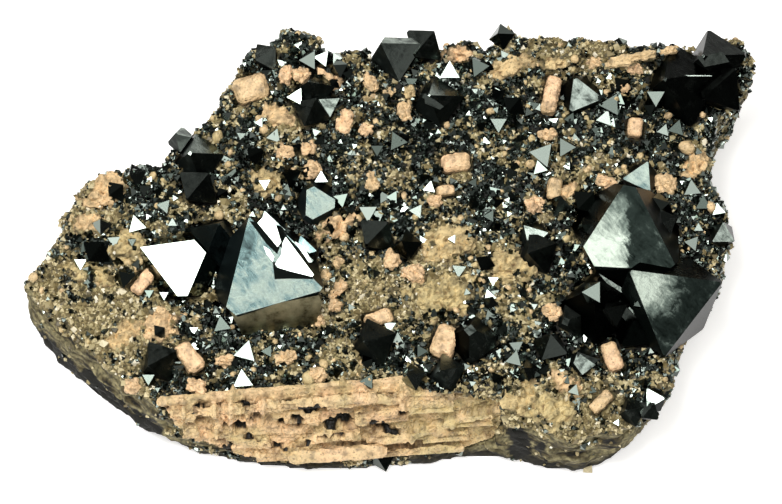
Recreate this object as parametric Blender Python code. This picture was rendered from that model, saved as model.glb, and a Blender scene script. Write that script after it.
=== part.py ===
"""Magnetite specimen: octahedral magnetite crystals grown on a slab of feldspar rock.

The specimen lies on its trimmed back with its crystals up. +X runs along its length, +Y to the
edge furthest from the viewer and +Z up. The origin is under its middle, on the resting plane.

Places on the crystal face are given as pixels of the picture it was drawn from, seen along one
sight line, and turned into millimetres by MM_PER_PIXEL. Lengths are in millimetres throughout
and become metres when a mesh is made.
"""

import math
import random

import bmesh
import bpy
from mathutils import Matrix, Vector, noise
from mathutils.bvhtree import BVHTree
from mathutils.geometry import delaunay_2d_cdt

# Driving dimensions
MM = 0.001  # metres in a millimetre
SPECIMEN_LENGTH = 95.0
LENGTH_IN_PIXELS = 730.0
MM_PER_PIXEL = SPECIMEN_LENGTH / LENGTH_IN_PIXELS
FACE_HEIGHT = 16.0  # height at which the picture's scale is taken
FIT_GAP = 0.3  # clearance between a crystal and its socket
TOP_SPACING = 4.8  # distance between neighbouring points of the rock's top
BACK_SPACING = 8.0
WALL_RINGS = 3
ROUGHNESS = 0.55  # how far the broken rock strays from its smooth form

# The sight line of the picture: it comes from -Y, this far above the horizon
SIGHT_ELEVATION = math.radians(66)
MIDDLE_PIXEL = Vector((386.3, 227.2))  # lies over the origin at FACE_HEIGHT
RIGHT = Vector((1, 0, 0))
UPWARD = Vector((0, math.sin(SIGHT_ELEVATION), math.cos(SIGHT_ELEVATION)))
TOWARD = Vector((0, -math.cos(SIGHT_ELEVATION), math.sin(SIGHT_ELEVATION)))

# The rock's upper rim, clockwise from its left tip: pixel across, pixel down, height
RIM = (
    (24, 283, 11.0), (42, 264, 12.0), (57, 243, 13.0), (68, 218, 14.0), (73, 196, 14.5),
    (93, 178, 15.0), (128, 169, 15.0), (163, 163, 15.5), (176, 142, 15.5), (203, 124, 16.0),
    (222, 94, 16.0), (233, 68, 16.5), (258, 46, 17.0), (292, 38, 17.0), (330, 51, 17.0),
    (372, 52, 17.0), (440, 46, 17.0), (480, 42, 18.0), (550, 38, 19.0), (600, 40, 19.0),
    (650, 49, 18.5), (700, 41, 18.0), (742, 38, 17.0), (756, 50, 16.5), (753, 88, 16.0),
    (738, 104, 15.5), (716, 122, 15.0), (707, 150, 14.5), (708, 180, 14.0), (724, 212, 14.0),
    (731, 238, 13.5), (720, 260, 13.0), (713, 281, 13.0), (703, 306, 12.0), (688, 330, 12.0),
    (672, 356, 12.5), (668, 382, 12.5), (660, 400, 12.0), (641, 416, 11.5), (612, 434, 11.0),
    (575, 441, 11.0), (548, 430, 11.5), (525, 410, 12.0), (505, 404, 12.5), (480, 400, 12.5),
    (440, 394, 12.5), (380, 394, 12.5), (300, 402, 12.5), (230, 408, 12.0), (172, 408, 12.0),
    (140, 388, 12.0), (100, 352, 11.5), (62, 315, 11.0), (35, 297, 10.5),
)

# Heights inside the rim, which the top's relief passes near
RELIEF = (
    (60, 280, 12.0), (120, 240, 14.5), (120, 320, 12.5), (180, 180, 15.5), (185, 350, 12.5),
    (250, 110, 16.0), (265, 270, 13.5), (290, 75, 16.5), (330, 330, 12.8), (350, 130, 16.0),
    (400, 240, 14.6), (440, 90, 16.5), (450, 300, 14.4), (480, 160, 15.6), (450, 370, 13.2),
    (520, 68, 17.0), (540, 350, 13.6), (560, 400, 12.6), (560, 230, 14.6), (580, 85, 16.4),
    (600, 60, 17.6), (600, 140, 15.6), (630, 230, 14.2), (640, 380, 12.8), (670, 75, 17.0),
    (670, 300, 12.8), (690, 120, 15.6), (690, 210, 14.2), (610, 420, 11.8),
)

# How far the wall flares out below the rim: pixel across and down of a place, flare at its foot
FLARE = (
    (24, 283, 1.2), (100, 352, 1.6), (165, 408, -0.2), (230, 408, 2.6), (300, 402, 5.0),
    (440, 394, 5.2), (490, 402, 1.2), (525, 410, 0.6), (560, 441, 2.8), (615, 432, -0.4),
    (662, 402, -3.2), (690, 355, -3.0), (712, 300, -1.8), (750, 80, -3.5), (720, 215, -1.5),
    (600, 38, -6.0), (440, 46, -5.0), (292, 34, -5.0), (205, 127, -4.0), (77, 197, -3.0),
)

# Which way a crystal's front face leans from the sight line, in degrees right and up. Crystals
# of one facing flash together.
FACINGS = {
    "flash": (-6, 8),
    "pale": (0, 2),
    "grey": (7, -5),
    "dull": (16, -12),
    "dark": (26, -20),
}

# Magnetite crystals with a place of their own. Each is given by its front face: pixel across
# and down of the face's middle, edge length, turn of the triangle in degrees, facing, how much
# of the crystal stands out of the rock, and how much of each edge its blunt corners take.
# Those under one name have grown together.
MAGNETITE = {
    "magnetite_mirror_left": (
        (179, 263, 9.5, 37, "flash", 0.43, 0, ((193.5, 239, 205, 251.5), (187, 295.7, 175, 296))),
    ),
    "magnetite_large_left": (
        (266, 275, 13.7, 106, "pale", 0.52, 0.02, ((323, 287, 318, 295), (227, 307, 232.6, 312))),
        (292, 256, 5.2, 106, "flash", 0.52, 0.04),
        (269, 227, 4.0, 106, "flash", 0.57, 0.04),
        (304, 248, 3.0, 106, "flash", 0.61, 0.04),
        (222, 250, 6.6, 96, "dark", 0.30, 0.05),
    ),
    "magnetite_large_right": (
        (626, 237, 13.9, 87, "pale", 0.53, 0, (
            (622.5, 185, 636, 187.5), (674, 264.7, 667, 270.5), (583.3, 247.3, 594, 266.5),
        )),
        (671, 303, 12.4, 22, "grey", 0.56, 0.03),
        (611, 314, 8.2, 2, "dark", 0.44, 0.05),
        (594, 293, 3.2, 180, "pale", 0.61, 0.10),
        (635, 336, 4.2, 92, "dull", 0.50, 0.10),
    ),
    "magnetite_above_right": ((641, 177, 4.1, 64, "flash", 0.57, 0.04),),
    "magnetite_top_right": (
        (694, 92, 8.4, 29, "dark", 0.39, 0.05),
        (725, 68, 6.6, 24, "dark", 0.39, 0.06),
        (728, 92, 6.0, 65, "dark", 0.42, 0.04),
    ),
    "magnetite_top_middle": (
        (401, 55, 5.8, 26, "dull", 0.52, 0.02, ((380.8, 35.8, 423, 37),)),
        (430, 48, 4.4, 75, "dark", 0.44, 0.10),
    ),
    "magnetite_upper_left": (
        (328, 105, 3.1, 33, "grey", 0.56, 0.02),
        (319, 92, 4.2, 12, "dark", 0.46, 0.02),
        (317, 114, 4.0, 95, "dark", 0.48, 0.03),
    ),
    "magnetite_hexagon": ((318, 203, 5.4, 118, "pale", 0.44, 0.20),),
    "magnetite_upper_right": ((583, 95, 4.9, 112, "grey", 0.39, 0.10),),
    "magnetite_centre_right": (
        (534, 236, 3.4, 13, "pale", 0.57, 0.03),
        (544, 257, 4.4, 40, "dark", 0.43, 0.03),
    ),
    "magnetite_crown": (
        (433, 100, 3.4, 150, "dull", 0.56, 0.03),
        (445, 106, 5.2, 20, "dark", 0.43, 0.05),
    ),
    "magnetite_centre": ((383, 240, 4.4, 70, "dark", 0.36, 0.08),),
    "magnetite_front_left": ((166, 366, 4.4, 50, "dark", 0.36, 0.06),),
    "magnetite_front_middle": ((381, 347, 4.8, 155, "dark", 0.44, 0.04),),
    "magnetite_rounded": ((480, 345, 5.4, 0, "dark", 0.37, 0.22),),
    "magnetite_rounded_right": ((579, 325, 4.2, 40, "dark", 0.36, 0.22),),
    "magnetite_kite": ((585, 362, 3.3, 8, "dull", 0.52, 0.03),),
    "magnetite_dusky": ((553, 349, 3.6, 100, "dull", 0.36, 0.06),),
    "magnetite_edge_pair": (
        (205, 164, 5.2, 20, "dark", 0.36, 0.08),
        (204, 192, 4.6, 75, "dark", 0.34, 0.06),
    ),
    "magnetite_corner_left": ((268, 58, 3.2, 60, "dull", 0.50, 0.05),),
    "magnetite_rim_left": ((183, 142, 3.0, 15, "dull", 0.43, 0.15),),
    "magnetite_rim_right": ((724, 235, 3.0, 90, "grey", 0.57, 0.05),),
    "magnetite_lower_right": (
        (652, 398, 2.8, 0, "flash", 0.61, 0.05),
        (635, 414, 3.0, 30, "dark", 0.43, 0.05),
        (651, 413, 2.6, 75, "dark", 0.43, 0.12),
    ),
    "magnetite_over_slab": ((452, 376, 3.8, 270, "dark", 0.44, 0.05),),
}

# Smaller magnetite crystals, which are part of the rock or of a larger crystal that they touch:
# pixel across and down of the face's middle, edge length, turn in degrees and facing
SMALL_MAGNETITE = (
    (309, 59, 2.4, 180, "grey"), (322, 57, 2.1, 172, "flash"), (336, 57, 1.4, 120, "pale"),
    (281, 62, 1.2, 20, "flash"), (296, 96, 2.2, 182, "flash"), (341, 199, 1.9, 40, "flash"),
    (286, 191, 1.7, 200, "pale"), (292, 178, 2.6, 30, "dark"), (321, 178, 1.7, 330, "flash"),
    (612, 104, 2.8, 182, "pale"), (606, 118, 2.1, 190, "flash"), (657, 96, 2.3, 150, "flash"),
    (651, 108, 1.7, 270, "dull"), (678, 128, 2.1, 73, "flash"), (665, 130, 1.6, 70, "dull"),
    (543, 154, 3.1, 50, "pale"), (566, 147, 2.4, 0, "dull"), (540, 168, 1.9, 105, "flash"),
    (499, 123, 2.1, 270, "flash"), (450, 71, 2.6, 90, "flash"), (479, 66, 2.5, 5, "grey"),
    (397, 141, 2.4, 355, "pale"), (377, 149, 1.6, 270, "dull"), (459, 270, 1.8, 265, "flash"),
    (490, 216, 1.5, 180, "pale"), (417, 211, 1.8, 175, "pale"), (384, 197, 1.6, 0, "dull"),
    (393, 197, 1.6, 60, "flash"), (368, 212, 2.3, 270, "grey"), (514, 359, 2.1, 75, "pale"),
    (516, 346, 1.8, 275, "grey"), (421, 351, 1.6, 0, "flash"), (368, 381, 1.9, 300, "flash"),
    (416, 379, 2.7, 270, "dark"), (693, 189, 2.2, 95, "grey"), (704, 204, 2.0, 90, "flash"),
    (719, 210, 1.7, 100, "flash"), (699, 228, 1.2, 90, "flash"), (693, 243, 1.9, 50, "flash"),
    (660, 205, 2.4, 10, "dull"), (668, 226, 3.0, 40, "dark"), (136, 225, 2.3, 105, "flash"),
    (164, 206, 1.8, 170, "pale"), (172, 223, 1.2, 90, "flash"), (137, 178, 2.4, 30, "dark"),
    (118, 194, 2.4, 60, "dark"), (104, 226, 2.0, 0, "dark"), (80, 263, 1.6, 30, "flash"),
    (101, 255, 3.2, 80, "dark"), (126, 278, 2.4, 15, "dull"), (149, 293, 1.2, 270, "flash"),
    (164, 295, 1.2, 270, "flash"), (149, 378, 1.6, 270, "flash"), (194, 330, 1.1, 270, "flash"),
    (222, 325, 2.2, 100, "flash"), (208, 304, 1.2, 110, "dull"), (246, 352, 2.8, 75, "flash"),
    (268, 351, 1.5, 180, "flash"), (243, 380, 2.6, 95, "flash"), (259, 122, 1.2, 180, "flash"),
    (274, 136, 1.9, 190, "grey"), (257, 158, 2.4, 50, "dark"), (329, 159, 1.0, 85, "flash"),
    (411, 248, 3.0, 20, "dark"), (489, 265, 2.2, 90, "dark"), (500, 96, 2.0, 40, "dark"),
    (518, 108, 2.6, 75, "dark"), (340, 68, 2.0, 30, "dull"), (592, 390, 1.0, 100, "pale"),
    (616, 422, 0.9, 60, "flash"), (530, 372, 2.2, 20, "dark"), (626, 88, 2.2, 60, "dark"),
    (300, 150, 1.6, 90, "dark"), (640, 262, 1.0, 60, "pale"), (588, 228, 1.8, 30, "dark"),
    (590, 205, 3.0, 70, "dark"), (498, 381, 1.6, 45, "dark"), (338, 372, 1.5, 15, "dark"),
    (512, 44, 3.0, 20, "dull"),
)

# Feldspar crystals with a place of their own: pixel across and down of the middle, length,
# width, height above the rock, turn of the long side in degrees
FELDSPAR = {
    "feldspar_hexagon": (456, 163, 3.7, 2.4, 1.2, 8),
    "feldspar_pair_upper": (552, 95, 5.0, 2.0, 1.4, 78),
    "feldspar_block_upper": (636, 127, 2.5, 1.9, 1.3, 84),
    "feldspar_block_right": (555, 189, 2.9, 1.8, 1.2, 80),
    "feldspar_brick": (446, 191, 2.4, 1.3, 1.1, 8),
    "feldspar_bar_front": (601, 402, 3.4, 1.5, 1.2, 45),
    "feldspar_bar_left": (144, 281, 4.0, 1.6, 1.1, 52),
    "feldspar_banded": (190, 358, 4.2, 2.4, 1.3, 125),
    "feldspar_lump_left": (250, 88, 4.6, 3.4, 1.3, 20),
    "feldspar_lens": (378, 319, 3.6, 1.9, 1.2, 20),
    "feldspar_front": (445, 342, 4.4, 3.2, 1.3, 65),
    "feldspar_tall": (612, 357, 3.9, 2.1, 1.2, 110),
}

# Feldspar lumps that are part of the rock: the same values
FELDSPAR_LUMPS = (
    (315, 76, 5.2, 2.2, 0.9, 345), (286, 74, 2.2, 1.3, 0.8, 80), (280, 116, 5.4, 2.8, 0.9, 340),
    (344, 120, 2.8, 2.2, 0.9, 70), (366, 130, 1.9, 1.4, 0.8, 60), (371, 82, 2.9, 1.4, 0.9, 300),
    (405, 112, 2.6, 1.9, 0.9, 100), (461, 51, 4.4, 2.2, 1.0, 5), (410, 93, 1.9, 1.8, 0.7, 40),
    (284, 151, 3.0, 2.0, 0.8, 330), (308, 147, 2.0, 1.5, 0.8, 20), (312, 170, 2.5, 1.9, 0.8, 40),
    (265, 180, 4.0, 2.8, 0.8, 40), (372, 181, 2.8, 1.6, 0.7, 290), (336, 226, 5.4, 2.8, 0.9, 35),
    (449, 243, 6.6, 4.6, 0.8, 20), (445, 296, 8.6, 4.4, 0.7, 15), (510, 264, 4.8, 3.6, 0.7, 340),
    (413, 273, 3.4, 2.0, 0.9, 340), (392, 260, 2.2, 2.0, 0.7, 60), (551, 311, 2.5, 1.9, 0.8, 315),
    (565, 385, 4.8, 2.4, 0.8, 325), (535, 205, 2.6, 2.4, 0.8, 300), (547, 134, 2.4, 1.4, 0.8, 10),
    (608, 182, 2.8, 1.7, 0.8, 330), (700, 165, 3.8, 2.6, 0.6, 50), (667, 184, 3.0, 2.6, 0.8, 10),
    (88, 224, 4.0, 2.2, 0.8, 15), (103, 190, 5.6, 3.4, 0.9, 35), (124, 246, 4.8, 3.0, 0.6, 0),
    (92, 289, 6.2, 4.6, 0.8, 340), (160, 326, 5.2, 3.6, 0.8, 40), (225, 361, 2.6, 1.6, 0.8, 10),
    (196, 385, 2.5, 2.0, 0.9, 350), (286, 358, 3.4, 1.9, 0.7, 10), (318, 374, 2.4, 2.0, 0.7, 60),
    (340, 288, 2.2, 1.4, 0.7, 60), (334, 306, 1.6, 1.5, 0.7, 0), (320, 322, 1.9, 1.4, 0.7, 60),
    (132, 385, 2.4, 2.2, 0.8, 0), (212, 240, 4.2, 3.4, 0.9, 45), (434, 201, 1.6, 1.4, 0.7, 0),
    (512, 66, 6.6, 2.4, 1.0, 12), (560, 60, 6.0, 2.6, 1.0, 8), (640, 56, 7.8, 1.6, 1.1, 11),
    (602, 49, 7.0, 2.4, 0.8, 355), (725, 44, 6.0, 2.0, 1.0, 350), (676, 52, 3.4, 1.4, 0.9, 8),
    (520, 398, 4.6, 2.6, 0.6, 10), (560, 418, 5.4, 3.4, 0.6, 350), (300, 42, 5.6, 2.6, 0.8, 345),
)

# The feldspar slab in the front wall. Its ledges are plates on a slope that runs along +X,
# each from one share of the slab's length to another, one share of the slope to another (0 at
# the top), and standing this far out of the slope.
SLAB_LEFT, SLAB_RIGHT = (163, 404), (502, 384)
SLAB_TOP, SLAB_FOOT = 13.2, 2.6
SLAB_RUN = 4.2  # how far the slope comes forward from top to foot
SLAB_DEPTH = 3.2  # thickness of the slab behind its slope
# Its outline in shares of length and slope, clockwise seen from the front
SLAB_OUTLINE = (
    (0.00, 0.00), (1.00, 0.00), (0.995, 0.62), (0.97, 0.86), (0.88, 0.99), (0.62, 1.00),
    (0.42, 0.94), (0.31, 1.02), (0.20, 0.86), (0.11, 0.62), (0.045, 0.40),
)
LEDGES = (
    (0.02, 0.26, 0.00, 0.09, 0.9), (0.25, 0.62, 0.00, 0.08, 1.2), (0.60, 0.90, 0.00, 0.10, 0.8),
    (0.07, 0.10, 0.08, 0.44, 0.9), (0.16, 0.18, 0.08, 0.40, 0.7), (0.24, 0.27, 0.07, 0.34, 0.8),
    (0.18, 0.31, 0.54, 0.68, 1.0), (0.30, 0.46, 0.70, 0.80, 0.9), (0.27, 0.37, 0.76, 0.87, 1.3),
    (0.44, 0.58, 0.48, 0.62, 1.1), (0.56, 0.72, 0.22, 0.42, 0.9), (0.70, 0.86, 0.10, 0.30, 1.0),
    (0.60, 0.80, 0.60, 0.70, 1.1), (0.38, 0.64, 0.80, 0.90, 1.6), (0.62, 0.88, 0.84, 0.93, 1.3),
    (0.82, 0.97, 0.40, 0.56, 0.8), (0.76, 0.90, 0.66, 0.78, 1.0), (0.36, 0.46, 0.20, 0.34, 0.7),
)

# Chips and crystals on the hidden walls, placed by a seeded draw
WALL_CRYSTALS = 6
WALL_LUMPS = 9


def sight_point(across, down, height):
    """The point at this height that is seen at this pixel."""
    right = (across - MIDDLE_PIXEL.x) * MM_PER_PIXEL
    up = (MIDDLE_PIXEL.y - down) * MM_PER_PIXEL
    y = (up - (height - FACE_HEIGHT) * UPWARD.z) / UPWARD.y
    return Vector((right, y, height))


def nearness_blend(x, y, places):
    """A value at (x, y) blended from places of (point, value), the nearer counting for more."""
    total = weight_sum = 0.0
    for point, value in places:
        weight = 1.0 / ((x - point.x) ** 2 + (y - point.y) ** 2 + 3.0) ** 2
        total += weight * value
        weight_sum += weight
    return total / weight_sum


HEIGHT_PLACES = [(sight_point(*row), row[2]) for row in RIM + RELIEF]
FLARE_PLACES = [(sight_point(px, py, 12.0), flare) for px, py, flare in FLARE]


def ground_height(x, y):
    """Height of the rock's top, without its crystals."""
    broad = nearness_blend(x, y, HEIGHT_PLACES)
    lumps = noise.fractal(Vector((x, y, 0.0)) / 7.0, 1.0, 2.0, 3)
    return broad + ROUGHNESS * lumps


def on_ground(across, down):
    """The point of the rock's top that is seen at this pixel."""
    point = sight_point(across, down, FACE_HEIGHT)
    for _ in range(6):
        point = sight_point(across, down, ground_height(point.x, point.y))
    return point


def material(name, colour, roughness, metallic):
    made = bpy.data.materials.new(name)
    made.use_nodes = True
    shader = made.node_tree.nodes["Principled BSDF"]
    shader.inputs["Base Color"].default_value = (*colour, 1.0)
    shader.inputs["Roughness"].default_value = roughness
    shader.inputs["Metallic"].default_value = metallic
    return made


def new_object(name, bm, finish=None, matrix=None):
    """An object from a bmesh in millimetres, moved by matrix if there is one."""
    if matrix is not None:
        bmesh.ops.transform(bm, matrix=matrix, verts=bm.verts)
    bmesh.ops.transform(bm, matrix=Matrix.Scale(MM, 4), verts=bm.verts)
    mesh = bpy.data.meshes.new(name)
    bm.to_mesh(mesh)
    bm.free()
    obj = bpy.data.objects.new(name, mesh)
    bpy.context.scene.collection.objects.link(obj)
    if finish is not None:
        mesh.materials.append(finish)
    return obj


def remove_objects(objects):
    for obj in objects:
        bpy.data.objects.remove(obj)


def apply_boolean(target, operation, others):
    """Joins the other objects to target or cuts them from it, and removes them."""
    operands = bpy.data.collections.new("operands")
    bpy.context.scene.collection.children.link(operands)
    for obj in others:
        operands.objects.link(obj)
    cut = target.modifiers.new("cut or join", "BOOLEAN")
    cut.operation = operation
    cut.operand_type = "COLLECTION"
    cut.collection = operands
    graph = bpy.context.evaluated_depsgraph_get()
    mesh = bpy.data.meshes.new_from_object(target.evaluated_get(graph))
    target.modifiers.clear()
    target.data = mesh
    remove_objects(others)
    bpy.data.collections.remove(operands)


def keep_main_body(obj):
    """Drops crumbs that a cut has parted from the piece."""
    bm = bmesh.new()
    bm.from_mesh(obj.data)
    left = set(bm.verts)
    bodies = []
    while left:
        body, front = set(), [left.pop()]
        while front:
            vert = front.pop()
            body.add(vert)
            near = {edge.other_vert(vert) for edge in vert.link_edges} & left
            left -= near
            front.extend(near)
        bodies.append(body)
    bodies.sort(key=len)
    crumbs = [vert for body in bodies[:-1] for vert in body]
    bmesh.ops.delete(bm, geom=crumbs, context="VERTS")
    bm.to_mesh(obj.data)
    bm.free()


def simplify(obj):
    """Takes out slivers and the bounds between faces that are nearly level with each other, as
    far as the surface stays closed."""
    for sliver in (0.05, 0.03, 0.01, 0.0):
        bm = bmesh.new()
        bm.from_mesh(obj.data)
        if sliver:
            bmesh.ops.remove_doubles(bm, verts=bm.verts, dist=sliver * MM)
        bmesh.ops.dissolve_limit(bm, angle_limit=math.radians(2), verts=bm.verts, edges=bm.edges)
        closed = all(edge.is_manifold for edge in bm.edges)
        if closed:
            bm.to_mesh(obj.data)
        bm.free()
        if closed:
            return


def octahedron(edge, blunt):
    """A bmesh octahedron about its middle, one face level and up, its corners cut square."""
    reach = edge / math.sqrt(2)
    bm = bmesh.new()
    corners = [bm.verts.new(sign * reach * axis) for axis in Matrix.Identity(3) for sign in (1, -1)]
    for x in corners[0:2]:
        for y in corners[2:4]:
            for z in corners[4:6]:
                bm.faces.new((x, y, z))
    bmesh.ops.recalc_face_normals(bm, faces=bm.faces)
    if blunt:
        bmesh.ops.bevel(bm, geom=list(bm.verts), offset=edge * blunt, affect="VERTICES")
    level = Vector((1, 1, 1)).rotation_difference(Vector((0, 0, 1))).to_matrix().to_4x4()
    point_along_x = Vector((1, 0, 0))
    first = level @ point_along_x
    turn = Matrix.Rotation(-math.atan2(first.y, first.x), 4, "Z")
    bmesh.ops.transform(bm, matrix=turn @ level, verts=bm.verts)
    return bm


def crystal_matrix(middle, edge, turn, facing):
    """Places an octahedron so that its level face's middle is at the point and faces so."""
    lean_right, lean_up = (math.radians(angle) for angle in FACINGS[facing])
    normal = TOWARD + RIGHT * math.tan(lean_right) + UPWARD * math.tan(lean_up)
    normal.normalize()
    across = RIGHT - normal * RIGHT.dot(normal)
    across.normalize()
    basis = Matrix((across, normal.cross(across), normal)).transposed().to_4x4()
    inradius = edge / math.sqrt(6)
    spun = Matrix.Rotation(math.radians(turn), 4, "Z")
    return Matrix.Translation(middle - normal * inradius) @ basis @ spun


def face_middle(across, down, edge, proud):
    """Where a crystal's front face is, if this share of the crystal stands out of the rock."""
    thickness = edge * math.sqrt(2 / 3)
    seat = on_ground(across, down)
    return sight_point(across, down, seat.z + thickness * proud * TOWARD.z)


def cut_corners(bm, placed, cuts, room):
    """Cuts corners off a crystal along lines from pixel to pixel, which are seen end on."""
    local = placed.inverted()
    for x0, y0, x1, y1 in cuts:
        start = sight_point(x0, y0, FACE_HEIGHT)
        end = sight_point(x1, y1, FACE_HEIGHT)
        away = (end - start).cross(TOWARD).normalized()
        if away.dot(placed.translation - start) > 0:
            away = -away
        whole = list(bm.verts) + list(bm.edges) + list(bm.faces)
        bmesh.ops.bisect_plane(
            bm, geom=whole, plane_co=local @ (start + away * room),
            plane_no=local.to_3x3() @ away, clear_outer=True,
        )
        rim = [edge for edge in bm.edges if len(edge.link_faces) == 1]
        bmesh.ops.holes_fill(bm, edges=rim)
    bmesh.ops.recalc_face_normals(bm, faces=bm.faces)


def crystal_objects(row, blunt, proud, name, cuts=()):
    """A crystal and the cutter of its socket."""
    across, down, edge, turn, facing = row
    placed = crystal_matrix(face_middle(across, down, edge, proud), edge, turn, facing)
    crystal = octahedron(edge, blunt)
    cut_corners(crystal, placed, cuts, 0.0)
    grown = new_object(name, crystal, matrix=placed)
    gap_matrix = placed @ Matrix.Scale(1 + 2 * FIT_GAP * math.sqrt(6) / (2 * edge), 4)
    cutter = octahedron(edge, blunt)
    cut_corners(cutter, gap_matrix, cuts, FIT_GAP)
    socket = new_object(name + "_socket", cutter, matrix=gap_matrix)
    return grown, socket


def touches(first, second):
    """Whether two objects' surfaces cross."""
    graph = bpy.context.evaluated_depsgraph_get()
    trees = [BVHTree.FromObject(obj, graph) for obj in (first, second)]
    return bool(trees[0].overlap(trees[1]))


def copy_of(obj):
    copied = obj.copy()
    copied.data = obj.data.copy()
    bpy.context.scene.collection.objects.link(copied)
    return copied


def cut_by(obj, sockets):
    """Cuts away what stands in the sockets of crystals that grew first."""
    crossing = [copy_of(socket) for socket in sockets if touches(obj, socket)]
    if crossing:
        apply_boolean(obj, "DIFFERENCE", crossing)
    keep_main_body(obj)


def chamfered_block(length, width, height, chamfer):
    """A bmesh block standing on z = 0 with its upper edges cut, as a worn crystal has."""
    bm = bmesh.new()
    bmesh.ops.create_cube(bm, size=1)
    bmesh.ops.scale(bm, vec=(length, width, height), verts=bm.verts)
    bmesh.ops.translate(bm, vec=(0, 0, height / 2), verts=bm.verts)
    upper = [edge for edge in bm.edges if sum(vert.co.z for vert in edge.verts) > 0.5 * height]
    bmesh.ops.bevel(bm, geom=upper, offset=chamfer, affect="EDGES", segments=1)
    return bm


def tapered_block(length, width, height, seed):
    """A bmesh block standing on z = 0 that narrows upward, its corners a little uneven."""
    draw = random.Random(seed)
    bm = bmesh.new()
    bmesh.ops.create_cube(bm, size=1)
    bmesh.ops.scale(bm, vec=(length, width, height), verts=bm.verts)
    bmesh.ops.translate(bm, vec=(0, 0, height / 2), verts=bm.verts)
    for vert in bm.verts:
        if vert.co.z > height / 2:
            vert.co.x *= 0.78 + draw.uniform(-0.1, 0.1)
            vert.co.y *= 0.74 + draw.uniform(-0.1, 0.1)
            vert.co.z += draw.uniform(-0.14, 0.1) * height
    bmesh.ops.triangulate(bm, faces=bm.faces)
    return bm


def block_matrix(across, down, height, turn, root):
    """Stands a block on the rock's top with this much of it above, its root in the rock."""
    seat = on_ground(across, down)
    step = 0.8
    slope_x = (ground_height(seat.x + step, seat.y) - ground_height(seat.x - step, seat.y)) / (2 * step)
    slope_y = (ground_height(seat.x, seat.y + step) - ground_height(seat.x, seat.y - step)) / (2 * step)
    normal = Vector((-slope_x, -slope_y, 1)).lerp(TOWARD, 0.5).normalized()
    along = RIGHT * math.cos(math.radians(turn)) + UPWARD * math.sin(math.radians(turn))
    along = (along - normal * along.dot(normal)).normalized()
    basis = Matrix((along, normal.cross(along), normal)).transposed().to_4x4()
    return Matrix.Translation(seat - normal * root) @ basis


def feldspar_objects(row, name):
    """A feldspar crystal and the cutter of its socket."""
    across, down, length, width, height, turn = row
    root = 1.0
    chamfer = 0.18 * width
    placed = block_matrix(across, down, height, turn, root)
    grown = new_object(name, chamfered_block(length, width, height + root, chamfer), matrix=placed)
    roomy = chamfered_block(length + 2 * FIT_GAP, width + 2 * FIT_GAP, height + root + 2 * FIT_GAP, chamfer)
    socket = new_object(name + "_socket", roomy, matrix=placed @ Matrix.Translation((0, 0, -FIT_GAP)))
    return grown, socket


def resampled(loop, spacing):
    """Points this far apart along a closed loop of corners."""
    points = []
    for start, end in zip(loop, loop[1:] + loop[:1]):
        steps = max(1, round((end - start).length / spacing))
        points += [start.lerp(end, step / steps) for step in range(steps)]
    return points


def outward(loop):
    """The level direction out of a clockwise loop at each of its points, from the run of the
    loop for some way to either side."""
    directions = []
    for index in range(len(loop)):
        along = Vector()
        for reach in (1, 2, 3):
            along += loop[(index + reach) % len(loop)] - loop[index - reach]
        directions.append(Vector((-along.y, along.x, 0)).normalized())
    return directions


def evened(loop, passes):
    """The loop with its small bends taken out."""
    for _ in range(passes):
        loop = [
            (loop[index - 1] + point * 2 + loop[(index + 1) % len(loop)]) / 4
            for index, point in enumerate(loop)
        ]
    return loop


def cover(loop, spacing, seed):
    """Triangles that fill a loop in plan: its points, then jittered inner points, and faces."""
    draw = random.Random(seed)
    flat = [point.xy for point in loop]
    low = Vector((min(p.x for p in flat), min(p.y for p in flat)))
    high = Vector((max(p.x for p in flat), max(p.y for p in flat)))
    inner = []
    row_step = spacing * math.sqrt(3) / 2
    for row in range(int((high.y - low.y) / row_step) + 1):
        for column in range(int((high.x - low.x) / spacing) + 1):
            place = low + Vector((column * spacing + (row % 2) * spacing / 2, row * row_step))
            place += Vector((draw.uniform(-1, 1), draw.uniform(-1, 1))) * spacing * 0.22
            if min((place - edge).length for edge in flat) > spacing * 0.6:
                inner.append(place)
    border = [(index, (index + 1) % len(flat)) for index in range(len(flat))]
    points, _, faces, origins, _, _ = delaunay_2d_cdt(flat + inner, border, [], 1, 1e-4)
    return points, faces, origins


def drift(place, size):
    """A smooth random shift of up to about a millimetre, with bumps of this size."""
    return Vector([noise.noise(place / size + Vector((31.7 * axis, 0, 9.2))) for axis in range(3)])


def rock_body():
    """The rock without crystals or sockets: a rough top, broken walls and a trimmed back."""
    loop = resampled([sight_point(*row) for row in RIM], TOP_SPACING)
    out = outward(loop)
    foot = [
        point + direction * nearness_blend(point.x, point.y, FLARE_PLACES)
        for point, direction in zip(loop, out)
    ]
    foot = evened(foot, 4)
    bm = bmesh.new()
    rings = []
    for ring in range(WALL_RINGS + 1):
        share = ring / WALL_RINGS
        verts = []
        for point, below, direction in zip(loop, foot, out):
            place = point.lerp(below, share) + direction * math.sin(share * math.pi) * 0.9
            place.z = point.z * (1 - share)
            if ring < WALL_RINGS:
                place += drift(place, 4.5) * 1.1 + drift(place, 1.9) * 0.5
            verts.append(bm.verts.new(place))
        rings.append(verts)
    for upper, lower in zip(rings, rings[1:]):
        for index in range(len(loop)):
            after = (index + 1) % len(loop)
            bm.faces.new((upper[index], upper[after], lower[after], lower[index]))
    fill_loop(bm, rings[0], TOP_SPACING, ground_height, up=True)
    fill_loop(bm, rings[-1], BACK_SPACING, lambda x, y: 0.0, up=False)
    bmesh.ops.triangulate(bm, faces=bm.faces)
    bmesh.ops.recalc_face_normals(bm, faces=bm.faces)
    return bm


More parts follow.
